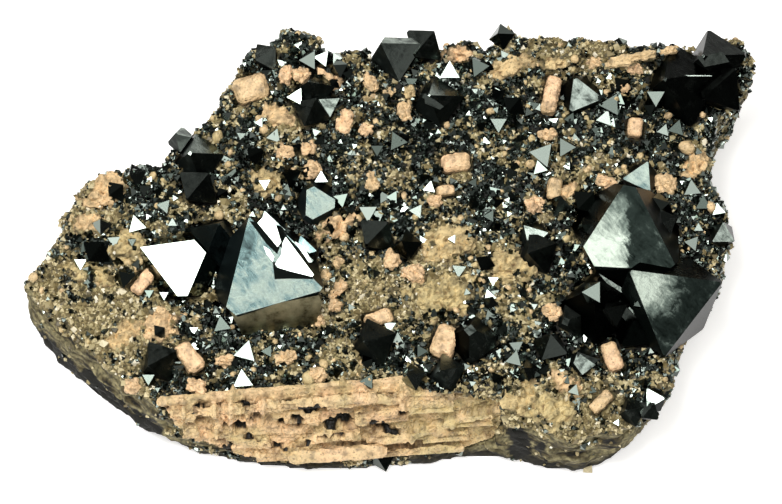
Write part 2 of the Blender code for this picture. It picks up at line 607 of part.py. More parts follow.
def fill_loop(bm, verts, spacing, height, up):
    """Closes a ring of the rock with triangles at the heights that a function gives."""
    points, faces, origins = cover([vert.co for vert in verts], spacing, seed=7)
    placed = []
    for point, origin in zip(points, origins):
        on_ring = [index for index in origin if index < len(verts)]
        if on_ring:
            placed.append(verts[on_ring[0]])
        else:
            placed.append(bm.verts.new((point.x, point.y, height(point.x, point.y))))
    for face in faces:
        corners = [placed[index] for index in face]
        bm.faces.new(corners if up else corners[::-1])


def slab_frame():
    """The slab's upper left corner and its directions: along, down the slope, and out of it."""
    left, right = (sight_point(*pixel, SLAB_TOP) for pixel in (SLAB_LEFT, SLAB_RIGHT))
    along = right - left
    level_out = Vector((along.y, -along.x, 0)).normalized()
    down = level_out * SLAB_RUN + Vector((0, 0, SLAB_FOOT - SLAB_TOP))
    out = along.cross(down).normalized()
    if out.y > 0:
        out.negate()
    return left, along, down, out


def slab_block(corner, along, down, front, back, room):
    """The slab's outline, grown by some room, as a block from front to back of its slope."""
    middle = corner + along * 0.5 + down * 0.5
    grow_along = 1 + 2 * room / along.length
    grow_down = 1 + 2 * room / down.length
    points = [
        middle + along * (right - 0.5) * grow_along + down * (low - 0.5) * grow_down
        for right, low in SLAB_OUTLINE
    ]
    bm = bmesh.new()
    near = [bm.verts.new(point + front) for point in points]
    far = [bm.verts.new(point - back) for point in points]
    bm.faces.new(near)
    bm.faces.new(far[::-1])
    for index in range(len(points)):
        after = (index + 1) % len(points)
        bm.faces.new((near[after], near[index], far[index], far[after]))
    bmesh.ops.recalc_face_normals(bm, faces=bm.faces)
    return bm


def slab_plate(start, along, down, out, back):
    """A plate spanned by two vectors, this far out of the slope and this far behind it."""
    bm = bmesh.new()
    corners = [start + shift for shift in (Vector(), along, along + down, down)]
    front = [bm.verts.new(corner + out) for corner in corners]
    rear = [bm.verts.new(corner - back) for corner in corners]
    bm.faces.new(front)
    bm.faces.new(rear[::-1])
    for index in range(4):
        after = (index + 1) % 4
        bm.faces.new((front[after], front[index], rear[index], rear[after]))
    bmesh.ops.recalc_face_normals(bm, faces=bm.faces)
    return bm


def slab_objects(finish, sockets):
    """The feldspar slab with its ledges, and the cutter of its place in the rock."""
    corner, along, down, out = slab_frame()
    back = out * SLAB_DEPTH
    body = new_object("feldspar_slab", slab_block(corner, along, down, Vector(), back, 0.0), finish)
    place = new_object(
        "slab_place", slab_block(corner, along, down, out * 6.0, back + out * FIT_GAP, FIT_GAP)
    )
    ledges = []
    draw = random.Random(5)
    for index, (left, right, top, foot, stand) in enumerate(LEDGES):
        skew = along.normalized() * draw.uniform(-0.2, 0.2) + down.normalized() * draw.uniform(0.1, 0.3)
        begin = corner + along * max(left, 0.004) + down * top + down.normalized() * draw.uniform(0.1, 0.3)
        wide = along * (right - left) + down.normalized() * draw.uniform(-0.25, 0.25)
        plate = slab_plate(begin, wide, down * (foot - top) + skew, out * stand, out * (1.0 + 0.03 * index))
        ledges.append(new_object(f"ledge_{index}", plate))
    apply_boolean(body, "UNION", ledges)
    cut_by(body, sockets)
    return body, place


def wall_decoration():
    """Crystals and lumps on the walls that the picture doesn't show, as rows of the same kind."""
    draw = random.Random(11)
    grown = []
    loop = resampled([sight_point(*row) for row in RIM], TOP_SPACING)
    out = outward(loop)
    hidden = [index for index, direction in enumerate(out) if direction.y > 0.6]
    for number in range(WALL_CRYSTALS + WALL_LUMPS):
        index = draw.choice(hidden)
        flare = nearness_blend(loop[index].x, loop[index].y, FLARE_PLACES)
        share = draw.uniform(0.3, 0.7)
        place = loop[index] + out[index] * (flare * share - 0.6)
        place.z = loop[index].z * (1 - share)
        spin = Matrix.Rotation(draw.uniform(0, math.tau), 4, Vector((0.3, 0.5, 0.8)))
        size = draw.uniform(2.4, 3.6)
        if number < WALL_CRYSTALS:
            placed = Matrix.Translation(place) @ spin
            shape = octahedron(size, 0)
        else:
            facing = Vector((0, 0, 1)).rotation_difference(out[index]).to_matrix().to_4x4()
            placed = Matrix.Translation(place) @ facing
            shape = tapered_block(size * 1.8, size * 1.2, 2.2, number)
        grown.append(new_object(f"wall_growth_{number}", shape, matrix=placed))
    return grown


def build_magnetite(finish):
    """Makes the crystals with nodes of their own. Returns the cutters of their sockets and the
    small crystals that touch only the rock."""
    clusters = {}
    for name, rows in MAGNETITE.items():
        clusters[name] = [
            crystal_objects(row[:5], row[6], row[5], f"{name}_{index}", *row[7:])
            for index, row in enumerate(rows)
        ]
    on_rock = []
    for index, row in enumerate(SMALL_MAGNETITE):
        grown, socket = crystal_objects(row, 0, 0.5, f"small_magnetite_{index}")
        neighbours = [
            name for name, pairs in clusters.items() if any(touches(grown, pair[0]) for pair in pairs)
        ]
        if neighbours:
            clusters[neighbours[0]].append((grown, socket))
        else:
            on_rock.append(grown)
            remove_objects([socket])
    sockets = []
    for name, pairs in clusters.items():
        main, others = pairs[0][0], [pair[0] for pair in pairs[1:]]
        if others:
            apply_boolean(main, "UNION", others)
        cut_by(main, sockets)
        main.name = name
        main.data.name = name
        main.data.materials.clear()
        main.data.materials.append(finish)
        sockets += [pair[1] for pair in pairs]
    return sockets, on_rock


def build():
    remove_objects(list(bpy.data.objects))
    rock_finish = material("feldspar rock", (0.42, 0.33, 0.22), 0.9, 0.0)
    magnetite_finish = material("magnetite", (0.09, 0.10, 0.11), 0.28, 0.85)
    feldspar_finish = material("pink feldspar", (0.72, 0.50, 0.36), 0.6, 0.0)
    sockets, growths = build_magnetite(magnetite_finish)
    for name, row in FELDSPAR.items():
        crystal, socket = feldspar_objects(row, name)
        cut_by(crystal, sockets)
        crystal.data.materials.clear()
        crystal.data.materials.append(feldspar_finish)
        sockets.append(socket)
    _, slab_place = slab_objects(feldspar_finish, sockets)
    sockets.append(slab_place)
    for index, (across, down, length, width, height, turn) in enumerate(FELDSPAR_LUMPS):
        placed = block_matrix(across, down, height, turn, 1.0)
        lump = tapered_block(length, width, height + 1.0, index)
        growths.append(new_object(f"lump_{index}", lump, matrix=placed))
    growths += wall_decoration()
    rock = new_object("rock", rock_body(), rock_finish)
    apply_boolean(rock, "UNION", growths)
    apply_boolean(rock, "DIFFERENCE", sockets)
    keep_main_body(rock)
    simplify(rock)
    rock.data.materials.clear()
    rock.data.materials.append(rock_finish)


build()
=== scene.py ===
"""Looks of the magnetite specimen: octahedral magnetite on granular feldspar rock.

Places on the crystal face are pixels of the picture, seen along one sight line, as in the
part's source. Lengths are in millimetres and become metres when a mesh is made.
"""

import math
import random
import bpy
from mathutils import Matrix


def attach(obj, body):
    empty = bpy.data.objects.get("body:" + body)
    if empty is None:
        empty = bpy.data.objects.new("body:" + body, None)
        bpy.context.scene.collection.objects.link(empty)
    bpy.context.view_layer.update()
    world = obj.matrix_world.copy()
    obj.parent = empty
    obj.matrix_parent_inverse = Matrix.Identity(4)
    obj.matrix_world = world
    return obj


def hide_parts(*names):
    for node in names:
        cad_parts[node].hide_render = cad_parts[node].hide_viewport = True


bl_info = {
    "name": "Magnetite Specimen",
    "version": (1, 0, 0),
    "blender": (4, 5, 0),
    "location": "View3D > Sidebar > Specimen",
    "description": "Builds the rock, grains, crystals and stage of a magnetite specimen",
    "category": "Object",
}

import bmesh
import bpy
import numpy as np
from bpy.props import FloatProperty, FloatVectorProperty, IntProperty, PointerProperty
from mathutils import Matrix, Vector, noise
from mathutils.bvhtree import BVHTree

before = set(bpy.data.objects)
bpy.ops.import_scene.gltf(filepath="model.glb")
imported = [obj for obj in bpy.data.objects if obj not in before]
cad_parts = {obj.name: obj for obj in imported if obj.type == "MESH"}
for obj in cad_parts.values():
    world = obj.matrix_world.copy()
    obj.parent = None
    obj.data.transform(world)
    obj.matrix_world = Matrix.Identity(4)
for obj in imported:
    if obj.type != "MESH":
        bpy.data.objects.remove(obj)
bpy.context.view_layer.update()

MM = 0.001

# Height at which sight lines start, above every crystal, in millimetres
ABOVE_ALL = 60.0

# Grains: samples drawn for each place wanted, samples drawn on the slab, share of the walls'
# places that hold a loose grain, how far a surface may turn under, lowest grain in millimetres,
# and how near under a crystal there is none, in millimetres
TRIES_PER_PLACE = 2.9
SLAB_SAMPLES = 14000
WALL_GRAINS = 0.012
TURNED_UNDER = -0.35
LOWEST_GRAIN = 0.4
SOCKET_DEPTH = 1.0

# Share of magnetite in the sand, on the crystal face and on the walls
TOP_ORE = 0.44
WALL_ORE = 0.35

# Bumps of the broken rock: size in millimetres and share, how far from a small crystal it is
# calm, in pixels for each millimetre of the crystal's edge, and height below which it is cut flat
ROCK_BUMPS = ((2.6, 1.0), (1.1, 0.55), (0.5, 0.3))
CALM_PIXELS = 3.5
FOOT_HEIGHT = 0.25

# Lowest place of a scattered crystal, and depth of a feldspar lump's root, in millimetres
LOWEST_CRYSTAL = 6
LUMP_ROOT = 0.8

# The sight line, as in the part's source
MM_PER_PIXEL = 95.0 / 730.0
FACE_HEIGHT = 16.0
SIGHT_ELEVATION = math.radians(66)
MIDDLE_PIXEL = Vector((386.3, 227.2))
PICTURE_SIZE = (782, 504)
RIGHT = Vector((1, 0, 0))
UPWARD = Vector((0, math.sin(SIGHT_ELEVATION), math.cos(SIGHT_ELEVATION)))
TOWARD = Vector((0, -math.cos(SIGHT_ELEVATION), math.sin(SIGHT_ELEVATION)))

# Which way a crystal's front face leans from the sight line, in degrees right and up
FACINGS = {
    "flash": (-6, 8),
    "soft": (-0.5, 4.2),
    "pale": (0, 2),
    "grey": (7, -5),
    "dull": (16, -12),
    "dark": (26, -20),
}
SCATTERED_FACINGS = ("flash", "pale", "grey", "dull", "dull", "dark", "dark", "dark", "dark")

# Small magnetite crystals: pixel across and down, edge length, turn in degrees and facing
SMALL_MAGNETITE = (
    (309, 59, 2.4, 180, "grey"), (322, 57, 2.1, 172, "flash"), (336, 57, 1.4, 120, "pale"),
    (281, 62, 1.2, 20, "flash"), (296, 96, 2.2, 182, "flash"), (341, 199, 1.9, 40, "flash"),
    (286, 191, 1.7, 200, "pale"), (292, 178, 2.6, 30, "dark"), (321, 178, 1.7, 330, "flash"),
    (612, 104, 2.8, 182, "soft"), (606, 118, 2.1, 190, "soft"), (657, 96, 2.3, 150, "soft"),
    (651, 108, 1.7, 270, "dull"), (678, 128, 2.1, 73, "soft"), (665, 130, 1.6, 70, "grey"),
    (543, 154, 3.1, 50, "pale"), (566, 147, 2.4, 0, "grey"), (540, 168, 1.9, 105, "flash"),
    (499, 123, 2.1, 270, "soft"), (450, 71, 2.6, 90, "soft"), (479, 66, 2.5, 5, "grey"),
    (397, 141, 2.4, 355, "pale"), (377, 149, 1.6, 270, "grey"), (459, 270, 1.8, 265, "soft"),
    (490, 216, 1.5, 180, "soft"), (417, 211, 1.8, 175, "pale"), (384, 197, 1.6, 0, "grey"),
    (393, 197, 1.6, 60, "flash"), (368, 212, 2.3, 270, "grey"), (514, 359, 2.1, 75, "pale"),
    (516, 346, 1.8, 275, "grey"), (421, 351, 1.6, 0, "grey"), (368, 381, 1.9, 300, "soft"),
    (416, 379, 2.7, 270, "dark"), (693, 189, 2.2, 95, "grey"), (704, 204, 2.0, 90, "soft"),
    (719, 210, 1.7, 100, "flash"), (699, 228, 1.2, 90, "soft"), (693, 243, 1.9, 50, "grey"),
    (660, 205, 2.4, 10, "dull"), (668, 226, 3.0, 40, "dark"), (136, 225, 2.3, 105, "soft"),
    (164, 206, 1.8, 170, "pale"), (172, 223, 1.2, 90, "pale"), (137, 178, 2.4, 30, "dark"),
    (118, 194, 2.4, 60, "dark"), (104, 226, 2.0, 0, "dark"), (80, 263, 1.6, 30, "soft"),
    (101, 255, 3.2, 80, "dark"), (126, 278, 2.4, 15, "dull"), (149, 293, 1.2, 270, "flash"),
    (164, 295, 1.2, 270, "soft"), (149, 378, 1.6, 270, "soft"), (194, 330, 1.1, 270, "flash"),
    (222, 325, 2.2, 100, "soft"), (208, 304, 1.2, 110, "dull"), (246, 352, 2.8, 75, "soft"),
    (268, 351, 1.5, 180, "soft"), (243, 380, 2.6, 95, "soft"), (259, 122, 1.2, 180, "flash"),
    (274, 136, 1.9, 190, "grey"), (257, 158, 2.4, 50, "dark"), (329, 159, 1.0, 85, "flash"),
    (411, 248, 3.0, 20, "dark"), (489, 265, 2.2, 90, "dark"), (500, 96, 2.0, 40, "dark"),
    (518, 108, 2.6, 75, "dark"), (340, 68, 2.0, 30, "dull"), (592, 390, 1.0, 100, "pale"),
    (616, 422, 0.9, 60, "flash"), (530, 372, 2.2, 20, "dark"), (626, 88, 2.2, 60, "dark"),
    (300, 150, 1.6, 90, "dark"), (588, 228, 1.8, 30, "dark"),
    (590, 205, 3.0, 70, "dark"), (498, 381, 1.6, 45, "dark"), (338, 372, 1.5, 15, "dark"),
    (506, 38, 2.6, 20, "dark"), (562, 262, 1.1, 100, "flash"), (560, 236, 1.1, 90, "flash"),
    (576, 138, 1.2, 100, "grey"), (611, 76, 0.9, 80, "flash"), (603, 91, 0.8, 20, "flash"),
    (386, 459, 3.2, 30, "dark"), (593, 292, 2.7, 180, "soft"), (616, 313, 3.4, 30, "dark"),
    (637, 304, 1.0, 200, "pale"), (568, 166, 1.0, 60, "flash"), (563, 207, 2.8, 100, "dull"),
)

# Feldspar lumps that stand proud: pixel across and down, length, width, height, turn, and
# tint from 0 (pink) to 1 (cream)
FELDSPAR_LUMPS = (
    (302, 74, 2.4, 1.8, 0.9, 345, 0.2), (286, 74, 2.2, 1.3, 0.8, 80, 0.1),
    (344, 120, 2.6, 2.0, 0.9, 70, 0.1), (366, 130, 1.8, 1.3, 0.8, 60, 0.2),
    (371, 82, 2.9, 1.3, 0.9, 300, 0.4), (405, 112, 2.4, 1.5, 0.9, 100, 0.4),
    (410, 92, 1.7, 1.5, 0.7, 40, 0.8), (390, 91, 1.4, 1.2, 0.7, 40, 0.5),
    (367, 100, 1.3, 1.1, 0.7, 0, 0.8), (284, 151, 2.4, 1.8, 0.8, 330, 0.3),
    (308, 147, 1.8, 1.4, 0.8, 20, 0.3), (312, 170, 2.2, 1.7, 0.8, 40, 0.3),
    (372, 181, 2.6, 1.4, 0.7, 290, 0.5), (392, 260, 2.1, 1.9, 0.7, 60, 0.3),
    (413, 273, 3.0, 1.8, 0.9, 340, 0.2), (551, 311, 2.4, 1.8, 0.8, 315, 0.3),
    (535, 205, 2.4, 2.2, 0.8, 300, 0.1), (547, 134, 2.2, 1.2, 0.8, 10, 0.3),
    (608, 182, 2.6, 1.5, 0.8, 330, 0.2), (667, 184, 2.6, 2.2, 0.8, 10, 0.4),
    (225, 361, 2.4, 1.3, 0.8, 10, 0.3), (196, 385, 2.3, 1.7, 0.9, 350, 0.2),
    (286, 358, 2.6, 1.5, 0.7, 10, 0.4), (318, 374, 2.0, 1.8, 0.7, 60, 0.4),
    (340, 288, 2.0, 1.2, 0.7, 60, 0.3), (334, 306, 1.5, 1.4, 0.7, 0, 0.3),
    (320, 322, 1.8, 1.2, 0.7, 60, 0.3), (132, 385, 2.0, 1.8, 0.8, 0, 0.3),
    (434, 201, 1.6, 1.3, 0.7, 0, 0.2), (632, 58, 6.6, 1.2, 0.9, 13, 0.6),
    (668, 50, 3.6, 0.9, 0.8, 12, 0.5), (625, 88, 1.2, 1.1, 0.7, 0, 0.3),
    (338, 262, 1.4, 1.1, 0.7, 70, 0.5), (326, 276, 1.3, 1.2, 0.7, 0, 0.5),
    (333, 297, 1.3, 1.1, 0.7, 20, 0.4), (104, 200, 2.2, 1.4, 0.9, 10, 0.4),
    (596, 62, 2.2, 1.4, 0.8, 20, 0.4), (636, 66, 2.0, 1.6, 0.8, 0, 0.1),
)

# Crusts of feldspar, flush with the sand: pixel across and down, length, width, turn, tint
CRUSTS = (
    (324, 77, 4.6, 1.8, 335, 0.2), (280, 116, 5.2, 2.6, 340, 0.5), (461, 51, 4.4, 2.4, 5, 0.2),
    (265, 180, 4.2, 3.0, 40, 0.9), (336, 226, 5.6, 3.0, 35, 0.3), (449, 243, 7.2, 5.0, 20, 0.85),
    (445, 296, 8.8, 4.6, 15, 1.0), (510, 264, 5.4, 4.0, 340, 0.9), (565, 385, 4.8, 2.6, 325, 0.4),
    (700, 165, 3.8, 2.8, 50, 0.5), (88, 224, 4.6, 2.6, 15, 0.5), (103, 190, 5.8, 3.8, 35, 0.5),
    (124, 246, 5.2, 3.4, 0, 0.95), (90, 272, 5.6, 3.2, 340, 1.0), (160, 326, 5.8, 4.0, 40, 0.4),
    (125, 335, 5.0, 3.0, 30, 0.7), (212, 240, 4.4, 3.6, 45, 0.95), (512, 66, 6.0, 2.2, 12, 0.7),
    (554, 63, 4.0, 1.8, 8, 0.8),
    (520, 398, 5.4, 3.4, 10, 0.9), (552, 410, 6.0, 3.8, 350, 1.0),
    (240, 96, 2.6, 2.4, 0, 0.4), (570, 190, 2.2, 1.6, 20, 0.4),
)

# Where grains of magnetite outnumber the sand, and where sand lies bare: pixel across and
# down, radius in pixels
DARK_PATCHES = (
    (200, 185, 32), (95, 250, 22), (180, 370, 27), (430, 130, 36), (405, 218, 26),
    (380, 240, 28), (475, 335, 36), (385, 345, 30), (500, 100, 34), (620, 330, 50),
    (690, 215, 52), (700, 90, 56), (560, 340, 34), (545, 265, 30), (330, 150, 30),
    (270, 60, 26), (405, 60, 38), (590, 120, 34), (240, 150, 26), (262, 235, 60),
    (540, 182, 20), (535, 352, 34), (592, 350, 28), (442, 352, 26),
    (590, 215, 26), (470, 90, 34), (140, 190, 26), (222, 335, 34), (420, 372, 24),
    (640, 120, 40), (500, 190, 22), (345, 95, 26), (480, 215, 16), (190, 260, 36),
    (300, 200, 20), (360, 200, 22), (295, 340, 24), (650, 300, 60), (650, 405, 20),
    (490, 290, 14), (540, 120, 30), (430, 185, 18), (235, 380, 16),
)
SAND_PATCHES = (
    (100, 330, 52), (60, 300, 40), (370, 298, 34), (525, 318, 22), (540, 418, 46),
    (600, 420, 50), (228, 215, 18), (430, 270, 30), (320, 300, 22), (130, 300, 34),
    (350, 370, 22), (570, 55, 34), (90, 215, 26), (660, 430, 26), (510, 280, 26),
    (370, 262, 22), (120, 390, 30), (480, 420, 30), (410, 292, 22), (640, 400, 14),
    (580, 390, 22), (400, 320, 16), (300, 130, 12), (716, 36, 18), (600, 50, 20),
)

# Plates, partitions and ledges of the slab: from pixel to pixel, half width in pixels, and
# height in millimetres
SLAB_RIDGES = (
    (150, 404, 234, 396, 3.2, 1.0), (234, 396, 343, 388, 3.2, 1.0), (343, 388, 409, 382, 3.2, 1.0),
    (293, 457, 380, 451, 3.6, 1.1), (184, 404, 187, 446, 3.0, 0.5), (214, 402, 216, 434, 3.5, 0.5),
    (231, 400, 231, 428, 3.5, 0.5), (264, 398, 262, 424, 3.0, 0.4), (300, 442, 352, 434, 3.5, 0.5),
    (218, 436, 300, 430, 3.0, 0.3), (412, 437, 452, 424, 4.5, 0.8), (452, 424, 500, 414, 4.0, 0.6),
    (450, 452, 503, 441, 4.0, 0.8), (380, 444, 412, 437, 4.0, 0.5), (322, 400, 366, 398, 5.0, 0.4),
    (372, 396, 402, 404, 5.0, 0.5), (160, 420, 184, 420, 6.0, 0.3), (400, 388, 404, 410, 3.0, 0.4),
)
SLAB_PITS = (
    (237, 424, 243, 428, 5.5, -1.3), (281, 421, 283, 422, 4.5, -1.3), (297, 417, 299, 423, 4.5, -1.3),
    (301, 409, 326, 407, 3.0, -1.2), (329, 424, 346, 419, 5.5, -1.4), (224, 450, 229, 448, 5.0, -1.1),
    (276, 446, 285, 449, 5.0, -1.0), (249, 435, 258, 439, 3.5, -1.0), (373, 424, 382, 425, 4.0, -1.3),
    (400, 413, 405, 416, 4.5, -1.2), (195, 408, 205, 432, 6.0, -0.5), (221, 408, 224, 424, 4.5, -0.6),
    (246, 404, 256, 418, 6.0, -0.6), (306, 440, 310, 441, 3.0, -0.8), (386, 430, 396, 432, 4.0, -1.0),
    (320, 437, 342, 434, 2.5, -0.9), (340, 446, 368, 444, 3.5, -0.6), (162, 414, 176, 432, 6.0, -0.4),
    (236, 402, 343, 394, 1.6, -0.7), (343, 394, 400, 389, 1.6, -0.6), (165, 409, 234, 402, 1.6, -0.6),
)

# Where the slab steps back and over what width, in pixels across, and how many thin plates make
# a millimetre of it
SLAB_STEP = 405
SLAB_STEP_WIDTH = 12
SLAB_PLATES = 3.2

# The slab's upper edge, above which the sand covers it: pixels across and down
SLAB_EDGE = ((150, 234, 343, 409, 425, 460, 510), (402, 393, 385, 379, 390, 394, 402))

# How far the edges of walls and bands waver, in pixels. Walls seen below the crystal face, and
# the black bands at their foot: corners in pixels
WALL_WAVER = 7.0
WALLS = (
    ((20, 282), (30, 292), (44, 317), (59, 330), (96, 357), (122, 379), (150, 403), (168, 420), (160, 455),
     (10, 360)),
    ((500, 428), (527, 427), (548, 436), (567, 443), (590, 443), (609, 435), (642, 424), (650, 480),
     (505, 480)),
    ((412, 445), (440, 449), (470, 446), (500, 431), (505, 475), (412, 475)),
    ((240, 452), (290, 458), (345, 458), (350, 480), (235, 470)),
)
BLACK_BANDS = (
    ((18, 300), (30, 316), (50, 341), (70, 361), (90, 378), (112, 395), (135, 412), (160, 423), (160, 455),
     (10, 380)),
    ((508, 424), (524, 424), (531, 440), (530, 458), (512, 458)),
    ((534, 440), (541, 440), (549, 470), (560, 474), (590, 468), (590, 482), (546, 482)),
    ((262, 462), (310, 464), (316, 480), (262, 476)),
)

# The black band all round: how ragged its edge is, and the heights up to which it is full and
# faint, in millimetres before the raggedness is taken off
BAND_RAGGED = 6.0
BAND_FULL = 5.0
BAND_TOP = 6.0

# Growth layers on the large left-hand crystal, and the dark steps between them, one of them a
# painted shadow along a layer's lower edge: how much they stand above its face in millimetres,
# whether they are clean, and their corners in pixels
GROWTH_LAYERS = (
    (0.45, True, ((258, 223), (265.5, 215), (275, 221), (281.5, 242), (278, 247))),
    (0.55, True, (
        (286, 237), (314, 274.5), (312.5, 276.6), (290, 271), (278.3, 267.5), (275.5, 264), (281.5, 255),
        (283, 243),
    )),
    (0.8, True, ((295, 241.5), (304, 246.5), (312, 262), (309, 262))),
    (0.12, False, ((250, 221), (258, 222), (280, 247), (277.5, 254), (267, 244))),
    # Painted shadow: a near-black sheet along the lower edge of the layer above
    (0.12, False, (
        (273, 262), (277, 262), (280, 267), (291, 270.5), (313.5, 276), (313, 279), (290, 278.5), (275, 279),
    )),
    (0.10, False, ((282, 243), (287, 236), (290, 243), (283, 250))),
    (0.25, True, ((264, 246), (270, 250), (274.5, 257), (273, 261.5), (267, 254))),
)

# Narrow faces that catch the light on the dark crystals: facing and corners in pixels
NARROW_FACES = (
    ("grey", ((598.6, 273.5), (630, 293), (629, 298), (616, 294.5))),
    ("dull", ((606, 298), (616, 297), (637, 318), (631, 327), (612, 306))),
    ("grey", ((622, 301), (624, 301), (641, 320), (640, 321.5))),
    ("soft", ((671, 74.4), (713, 74.8), (713, 75.6), (671, 75.4))),
    ("dull", ((698, 56), (724, 51), (731, 61), (706, 66))),
    ("flash", ((215.2, 268), (216.6, 268), (213, 287.5), (211.6, 287.5))),
    ("soft", ((411, 63), (420, 51.5), (422, 57), (416, 61))),
    ("dull", ((424, 93), (436, 100), (444, 106), (440, 109), (425, 103))),
    ("grey", ((573, 363), (577, 352), (595, 364.5), (582, 374.5))),
)

# The large left-hand crystal: a pixel of its front face, its side face below that with the
# upper edge first, and how steep the side face is
STEPPED_FACE = (255, 290)
SIDE_FACE = ((231, 312), (319, 295), (322, 302), (317, 325), (301, 345), (262, 352), (243, 336))
SIDE_LEAN = math.radians(44)

# Places of the growth layers' materials
CLEAN, ETCHED, DULLED, CLOUDY = range(4)

# Large crystals whose faces aren't as cloudy as the others': material, finish, how much of the
# usual light they give back, below 1 as painted shade on crystals that lie in shade, and nodes
OTHER_FACES = (
    ("magnetite_clean_face", "clean", 1.0, ("magnetite_mirror_left",)),
    ("magnetite_parted_face", "parted", 1.0, ("magnetite_large_right",)),
    ("magnetite_painted_shade_face", "cloudy", 0.18, ("magnetite_top_right",)),
    ("magnetite_layered_face", "layered", 1.0, ("magnetite_large_left", "magnetite_hexagon")),
    ("magnetite_layered_painted_shade_face", "layered", 0.36, ("magnetite_above_right",)),
)

# Spots with a look of their own, clean, veiled by dust or rusty: their height in millimetres,
# then pixel across and down, and inner and outer radius in millimetres. Last, the rust's shade
SPOT_HEIGHT = 20.0
UPPER_CLEAN = (600, 262, 2.5, 12.0)
LOWER_CLEAN = (643, 286, 1.2, 6.2)
VEILED = (243, 248, 1.0, 6.0)
RUST_SPOT = (503, 272, 2.0, 6.5)
RUST_SHADE = (1.0, 0.72, 0.38)

# The right-hand pair: pixel across of the feathered line, and pixel down where the faces part
FEATHERED_LINE = 627
PARTING_LINE = 270

# Which way the streaks on magnetite faces run
STREAK_TURN = math.radians(-48)

# What magnetite faces reflect, from etched to clean: place on the ramp and reflection
PARTED_FACE = (
    (0.38, (0.002, 0.003, 0.0025)), (0.56, (0.010, 0.014, 0.012)), (0.68, (0.07, 0.088, 0.075)),
    (0.86, (0.28, 0.32, 0.27)),
)
LAYERED_FACE = (
    (0.28, (0.012, 0.018, 0.018)), (0.42, (0.055, 0.085, 0.083)), (0.5, (0.105, 0.13, 0.115)),
    (0.7, (0.15, 0.175, 0.145)),
)

# Feldspar's mottle and pores: size in millimetres, detail, and how much each part darkens
FELDSPAR_MOTTLE = (1.1, 7, ((0.32, 0.55), (0.48, 1.05), (0.7, 1.3)))
FELDSPAR_PORES = (0.28, 3, ((0.31, 0.4), (0.39, 0.97), (0.62, 1.1)))

# Round soft boxes: name, degrees right and up of the camera, distance in metres, and radius in
# degrees
SOFT_BOXES = (("flash", -12, 16, 0.6, 11), ("panel", 2, 0, 0.7, 21), ("key", -46, 34, 0.8, 5))


def linear_colour(code):
    """A hex sRGB colour as linear numbers."""
    channels = [int(code[start:start + 2], 16) / 255 for start in (1, 3, 5)]
    return tuple(c / 12.92 if c <= 0.04045 else ((c + 0.055) / 1.055) ** 2.4 for c in channels)


def grey(value):
    """A neutral colour."""
    return (value, value, value)


# Dirt on a dulled side of magnetite, from its pits to its ridges, tinted sand-brown as a painted
# reflection of the sand in front
DIRT_AND_SAND_REFLECTION = ((0.35, linear_colour("#3A3728")), (0.5, linear_colour("#8A866C")), (0.7, linear_colour("#A9A488")))


def colour_property(name, description, code):
    """A colour setting, with a hex colour as its default."""
    return FloatVectorProperty(
        name=name, description=description, subtype="COLOR", size=3, min=0, max=1,
        default=linear_colour(code),
    )


def length_property(name, description, value):
    """A length setting, with its default in millimetres."""
    return FloatProperty(
        name=name, description=description, default=value * MM, min=0, unit="LENGTH", precision=5,
    )


def count_property(name, description, value):
    """A setting for how many there are."""
    return IntProperty(name=name, description=description, default=value, min=0)


def light_property(name, description, value):
    """A setting for how bright a light is."""
    return FloatProperty(name=name, description=description, default=value, min=0)


class RockSettings(bpy.types.PropertyGroup):
    voxel: length_property("Surface detail", "Size of the smallest shape in the rock's surface", 0.42)
    relief: length_property("Relief", "Height of the bumps of the broken rock", 0.42)
    colour: colour_property("Rock colour", "Fine rock between the grains of sand", "#8B8057")
    shade: colour_property("Rock shade", "Iron-stained rock between the grains of sand", "#4A4128")
    ore: colour_property("Ore", "Fine rock between the grains of magnetite", "#14140F")
    wall: colour_property("Wall colour", "Broken walls, layered", "#7E7656")
    # Near-black of the band at the foot of the walls and all round the bottom of the rock
    band: colour_property("Band colour", "Magnetite-rich band at the foot of the walls", "#171611")


class GrainSettings(bpy.types.PropertyGroup):
    place_count: count_property("Places", "Places for a grain of sand or magnetite", 82000)
    sand_count: count_property("Sand grains", "Grains of sand at most", 24000)
    sand_size: length_property("Sand size", "Usual width of a grain of sand", 0.35)
    dark_count: count_property("Dark grains", "Grains of magnetite at most", 21000)
    dark_size: length_property("Dark grain size", "Usual edge of a magnetite grain", 0.42)
    chip_count: count_property("Feldspar grains", "Rounded feldspar grains at most", 330)
    chip_size: length_property("Feldspar grain size", "Usual width of a feldspar grain", 0.75)
    pale: colour_property("Pale sand", "The lightest sand", "#D6C79C")
    middle: colour_property("Sand", "The commonest sand", "#A4966C")
    brown: colour_property("Brown sand", "Iron-stained sand", "#776843")
    grey: colour_property("Grey sand", "The darkest sand", "#4E4833")


class CrystalSettings(bpy.types.PropertyGroup):
    colour: colour_property("Magnetite", "Reflection of a clean magnetite face", "#838C84")
    tarnish: colour_property("Tarnish", "Reflection of a dulled magnetite face", "#3B423D")
    small_count: count_property("Small crystals", "Scattered crystals about 1 mm across", 620)


class FeldsparSettings(bpy.types.PropertyGroup):
    voxel: length_property("Surface detail", "Size of the smallest shape on feldspar", 0.2)
    pink: colour_property("Pink feldspar", "Fresh feldspar", "#E0BA90")
    cream: colour_property("Cream feldspar", "Weathered feldspar", "#BDAA7A")
    # Iron-stained joints and creases, darkened further as painted shade
    stain_and_shade: colour_property("Stain", "Iron stain in pits and joints", "#72583A")
    # Painted shadow filling the deepest pits
    pit_shadow: colour_property("Pit", "Dark fill of the deepest pits", "#1A1811")


